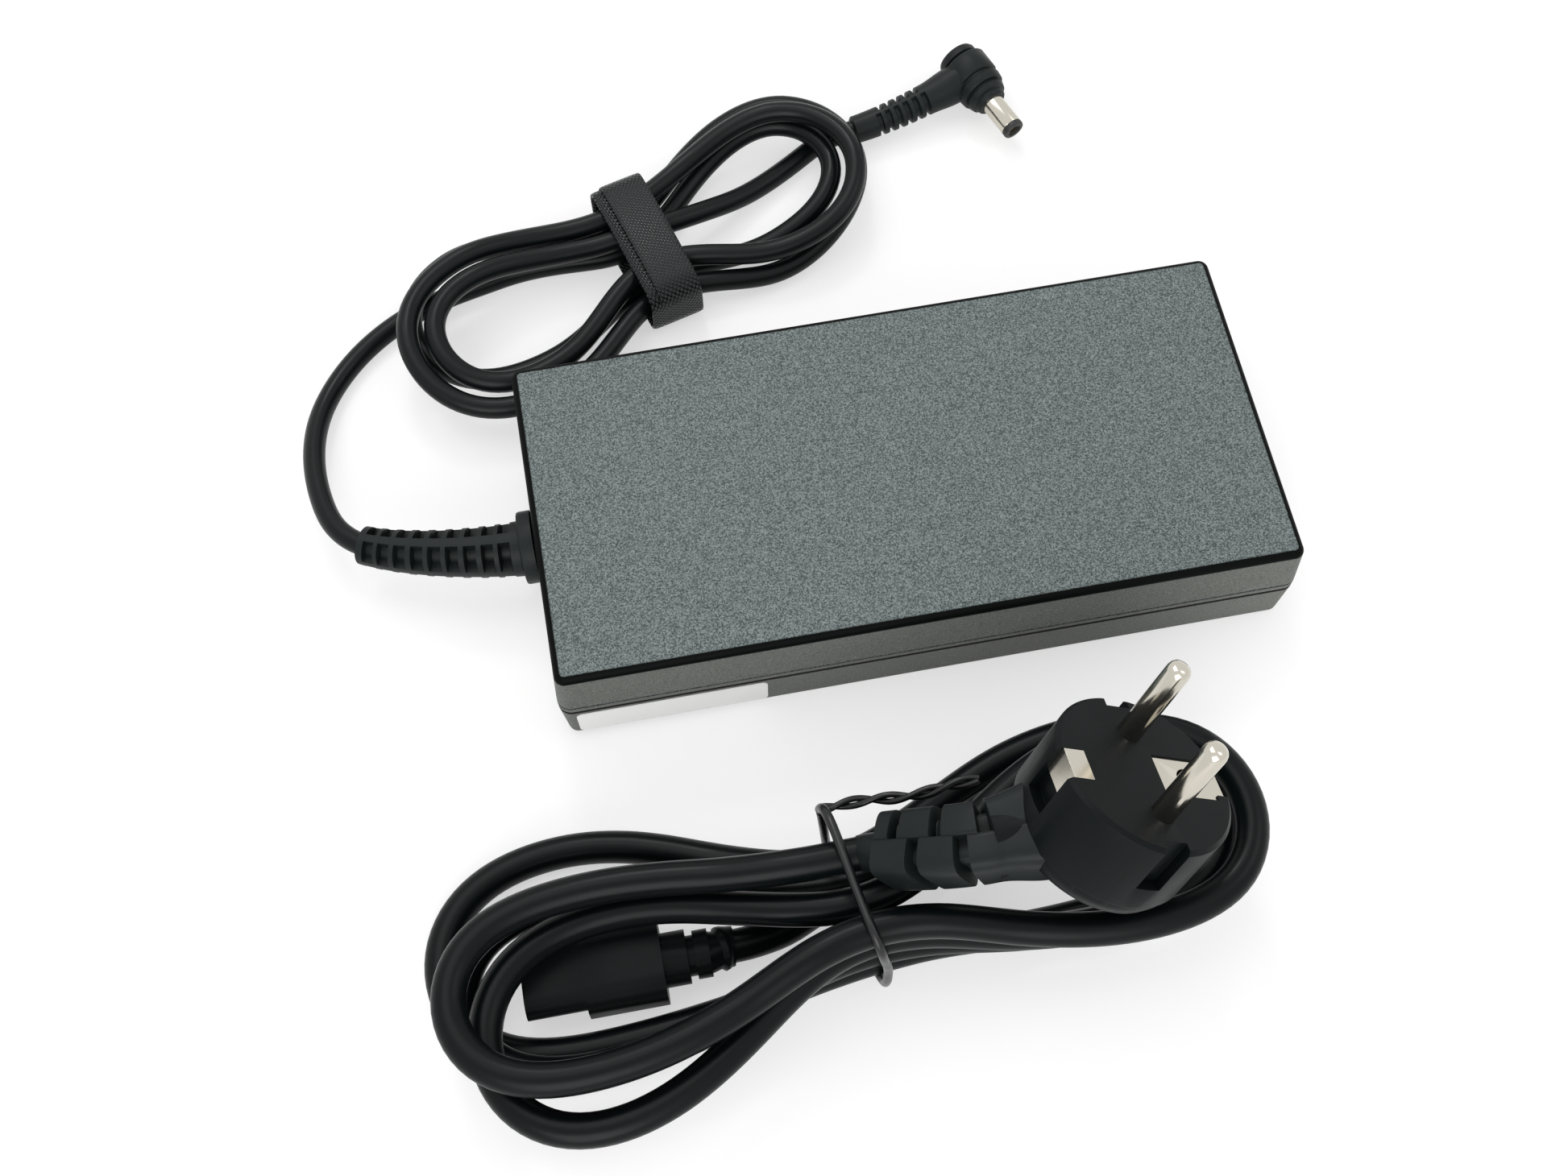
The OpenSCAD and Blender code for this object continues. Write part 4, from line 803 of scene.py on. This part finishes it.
# %% Relief and pins of the mains plug
exit_dir = unit(-earth_dir - 0.57 * pin_dir)
neck_start = on_face(-8, 0, -17) + 4 * exit_dir
relief_start = neck_start + 10 * exit_dir
neck_points, relief_points, relief_sides = 61, 261, 96
neck_line = np.linspace(neck_start, relief_start, neck_points)[:-1]
cord_in = unit(mains_wound[-1] - mains_wound[-2])
relief_line = bend(relief_start, 24 * exit_dir, mains_wound[-1], -10 * cord_in, relief_points - 1)
neck_share = 0.24
s = np.r_[np.linspace(-neck_share, 0, neck_points)[:-1], np.linspace(0, 1, relief_points)][:, None]
a = np.linspace(0, 2 * np.pi, relief_sides, endpoint=False)[None]
half_wide = 7.1 - 0.6 * s + 1.4 * ease(-s / neck_share)
half_high = 6.7 - 0.5 * s + 0.8 * ease(-s / neck_share)
block = (np.abs(np.cos(a) / half_wide) ** 5 + np.abs(np.sin(a) / half_high) ** 5) ** -0.2
mould_line = 0.3
block = block - mould_line * (np.abs(np.cos(a)) < 0.03)
slot_depth, slot_half = 2.9, 0.03
for side, slots in ((1, (0.035, 0.28, 0.53)), (-1, (0.15, 0.4))):
    for at in slots:
        in_slot = ease((slot_half - np.abs(s - at)) / 0.006 + 0.5) * (side * np.cos(a) > 0.03)
        block = block - slot_depth * in_slot
is_block = ease((0.675 - s) / 0.03 + 0.5)
relief_radius = is_block * block + (1 - is_block) * (4.9 - 1.3 * s)
relief_tube = tube(np.r_[neck_line, relief_line], relief_radius, relief_sides)
plug_relief = add_piece("plug_relief", *skin([relief_tube]), "mains_lead", boot_pvc, sharp=40)
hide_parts("mains_plug_relief")

pin_r, pin_root, pin_gap = 2.4, -9, 19
pin_profile = [(0, pin_root), (pin_r - 0.1, pin_root), (pin_r, pin_root + 0.1), (pin_r, 17.0),
               (2.36, 17.4), (2.2, 18.0), (1.9, 18.5), (1.4, 18.85), (0.7, 18.98), (0, 19)]
both_pins = [turned(pin_profile, on_face(0, y, 0), pin_dir, 48)[1:-1] for y in (-pin_gap / 2, pin_gap / 2)]
pins = add_piece("plug_pins", *skin(both_pins), "mains_lead", nickel, sharp=50)
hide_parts("mains_plug_pins")

# %% [markdown]
# ## The wire tie
# A PVC coated wire bent round the waist, with its two ends twisted together. The twist is two
# thin tubes turning about one line half a turn apart.

# %% Wire tie
tie_uvz = [[-2.8, 13.6, 26.5], [-2.6, 12.9, 29], [-2.3, 11, 31.2], [-2, 8, 32.2], [-1.8, 4, 32.5],
           [-1, -11, 32.4], [-0.6, -15.2, 31.8], [-0.2, -17.4, 30], [0.2, -18.2, 27],
           [1.4, -18.2, 18], [1.6, -18.2, 6], [1.5, -17.6, 3.4], [1.3, -16.2, 1.7], [0.8, -13, 1],
           [0, 6, 1], [-0.9, 10.2, 1.7], [-1.3, 12.2, 3.6], [-1.6, 12.9, 7], [-2, 13.2, 15],
           [-2.6, 13.5, 25]]
hank_mid, hank_turn = mains_hank["mid"], mains_hank["turn"]
hank_side = unit(on_hank([1, 0, 0], (0, 0), hank_turn))
tie_line = smooth_route(on_hank(tie_uvz, hank_mid, hank_turn), 1)
tail_uvz = [[-2.7, 13.6, 26], [1, 13.3, 26.4], [4, 13, 26.7], [7.2, 12.4, 27.2], [11, 11.2, 28.4],
            [15, 10, 29.6], [18.5, 9.6, 30.6], [22, 9.3, 31.6], [25, 8.9, 32.4], [28, 8.4, 33]]
tail_step, twist_length = 0.5, 15
tail_line = smooth_route(on_hank(tail_uvz, hank_mid, hank_turn), tail_step)
t = directions(tail_line)
x = np.cross(t, [0, 0, 1.0])
x /= np.linalg.norm(x, axis=1, keepdims=True)
y = np.cross(x, t)
phase = np.arange(len(tail_line)) * tail_step / twist_length * 2 * np.pi
strands = []
for p in (0, np.pi):
    aside = np.cos(phase + p)[:, None] * x + np.sin(phase + p)[:, None] * y
    strands.append(tube(tail_line + 0.68 * aside, 0.66, 10))
wrap = tube(tie_line, 0.95, 14, hank_side)
tie = add_piece("wire_tie", *skin([wrap, *strands]), "mains_lead", tie_coat, sharp=60)
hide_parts("twist_tie")

# %% [markdown]
# ## Inside the housing, the inlet and the label
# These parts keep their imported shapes. Each gets the finish of the real one.

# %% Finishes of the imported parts
aluminium = metal("aluminium sheet, mill finish", "#c4c6c8", rough=0.38, spot_mm=0.6)
solder_mask = moulded("epoxy glass, green solder mask", "#23502c", "#2d6438",
                      rough=0.4, grain_mm=0.5, depth_mm=0.01)
film_liner = moulded("polyester insulating film", "#cfc59c", "#d9d0ab",
                     rough=0.45, grain_mm=1.0, depth_mm=0.004)
ferrite = moulded("manganese zinc ferrite, ground", "#2b2b2d", "#37373a",
                  rough=0.6, grain_mm=0.3, depth_mm=0.01)
copper = moulded("enamelled copper wire", "#8a4a22", "#a35f30", rough=0.3, grain_mm=0.45, depth_mm=0.06)
polyester_tape = moulded("polyester tape over windings", "#c6a52c", "#d4b544",
                         rough=0.4, grain_mm=1.0, depth_mm=0.01)
film_box = moulded("polypropylene capacitor case", "#b88f28", "#c49b33",
                   rough=0.5, grain_mm=0.5, depth_mm=0.01)
sleeve_pvc = moulded("shrunk PVC sleeve", "#161c33", "#202845", rough=0.32, grain_mm=1.0, depth_mm=0.01)
blue_dip = moulded("epoxy dipped ceramic", "#2c5c9c", "#3668a8", rough=0.35, grain_mm=1.5, depth_mm=0.03)
fuse_body = moulded("glazed ceramic tube", "#dedcd2", "#e8e6dc", rough=0.25, grain_mm=2.0, depth_mm=0.01)
lead_pvc = moulded("PVC wire insulation", "#8f1512", "#a01d19", rough=0.4, grain_mm=1.0, depth_mm=0.01)
finishes = dict(
    circuit_board=solder_mask, board_liner=film_liner, heat_spreader=aluminium,
    input_fuse=fuse_body, filter_capacitor=film_box, filter_choke=copper,
    bridge_rectifier=inner_black, boost_choke=copper, bulk_capacitor=sleeve_pvc,
    primary_heat_sink=aluminium, power_transistors=inner_black, transformer_core=ferrite,
    transformer_winding=polyester_tape, secondary_heat_sink=aluminium,
    output_rectifiers=inner_black, output_capacitors=sleeve_pvc,
    suppression_capacitors=blue_dip, output_leads=lead_pvc, mains_inlet=inner_black,
    inlet_pins=nickel, side_label=label_film)
for name, finish in finishes.items():
    nodes[name].data.materials.clear()
    nodes[name].data.materials.append(finish)
print("packed parts with a finish:", len(finishes))

# %% Cords
print("cords declared, mm:", round(measure(cord_line)), round(measure(mains_line)))

# %% [markdown]
# ## Floor, light and background
# A white table and soft lamps. The world gives an even fill, and to the camera, to metal and to
# glass it is plain white. The table is so too in part, which keeps its shadows light.

# %% Studio
def plane(name, size, z):
    """One large square."""
    mesh = bpy.data.meshes.new(name)
    h = size / 2
    mesh.from_pydata([(-h, -h, z), (h, -h, z), (h, h, z), (-h, h, z)], [], [(0, 1, 2, 3)])
    obj = placed(name, mesh)
    return obj


def seen(tree):
    """1 for a ray whose end shows in the image: straight, in a reflection or through glass."""
    ray = add_node(tree, "ShaderNodeLightPath").outputs
    either = add_node(tree, "ShaderNodeMath", {
        0: ray["Is Camera Ray"], 1: ray["Is Glossy Ray"]}, operation="MAXIMUM").outputs["Value"]
    return add_node(tree, "ShaderNodeMath", {
        0: either, 1: ray["Is Transmission Ray"]}, operation="MAXIMUM").outputs["Value"]


def by_ray(tree, unseen_value, seen_value):
    """The second value for a ray whose end shows in the image, and the first for all others."""
    return add_node(tree, "ShaderNodeMapRange", {
        "Value": seen(tree), "To Min": unseen_value, "To Max": seen_value}).outputs["Result"]


table = plane("table", 6.0, -0.0001)
table_paint, tree, shader = new_material("white laminate table")
glow = 0.55  # the share of the table's white that no shadow takes away
white = 0.97
set_inputs(tree, shader, {"Base Color": by_ray(tree, white, white * (1 - glow)), "Roughness": 0.9,
                          "Specular IOR Level": 0.0, "Emission Color": (1, 1, 1, 1),
                          "Emission Strength": by_ray(tree, 0, glow)})
table.data.materials.append(table_paint)


def lamp(name, at, size, watts, aim=(0, 0, 0)):
    """A square area lamp that faces its aim, in metres and watts."""
    data = bpy.data.lights.new(name, "AREA")
    data.size, data.energy = size, watts
    z = unit(np.array(at) - np.array(aim))
    x = unit(np.cross([0, 1, 0.01], z))
    m = np.eye(4)
    m[:3, 0], m[:3, 1], m[:3, 2], m[:3, 3] = x, np.cross(z, x), z, at
    placed(name, data).matrix_world = Matrix(m)


lamp("top lamp", (-0.3, 0.4, 1.15), size=0.9, watts=4)
lamp("gloss lamp", (-0.05, 0.8, 0.97), size=0.2, watts=2, aim=(-0.05, 0.08, 0))
lamp("front lamp", (-0.3, -1.15, 0.65), size=0.9, watts=9)
lamp("side lamp", (0.9, -0.1, 1.0), size=0.6, watts=1.5)
world = bpy.data.worlds.new("studio")
bpy.context.scene.world = world
world.use_nodes = True
tree = world.node_tree
fill = 0.75
set_inputs(tree, tree.nodes["Background"], {
    "Color": (1, 1, 1, 1), "Strength": by_ray(tree, fill, 1.0)})
bpy.context.scene.view_settings.view_transform = "Standard"
print("lamps:", len(bpy.data.lights))
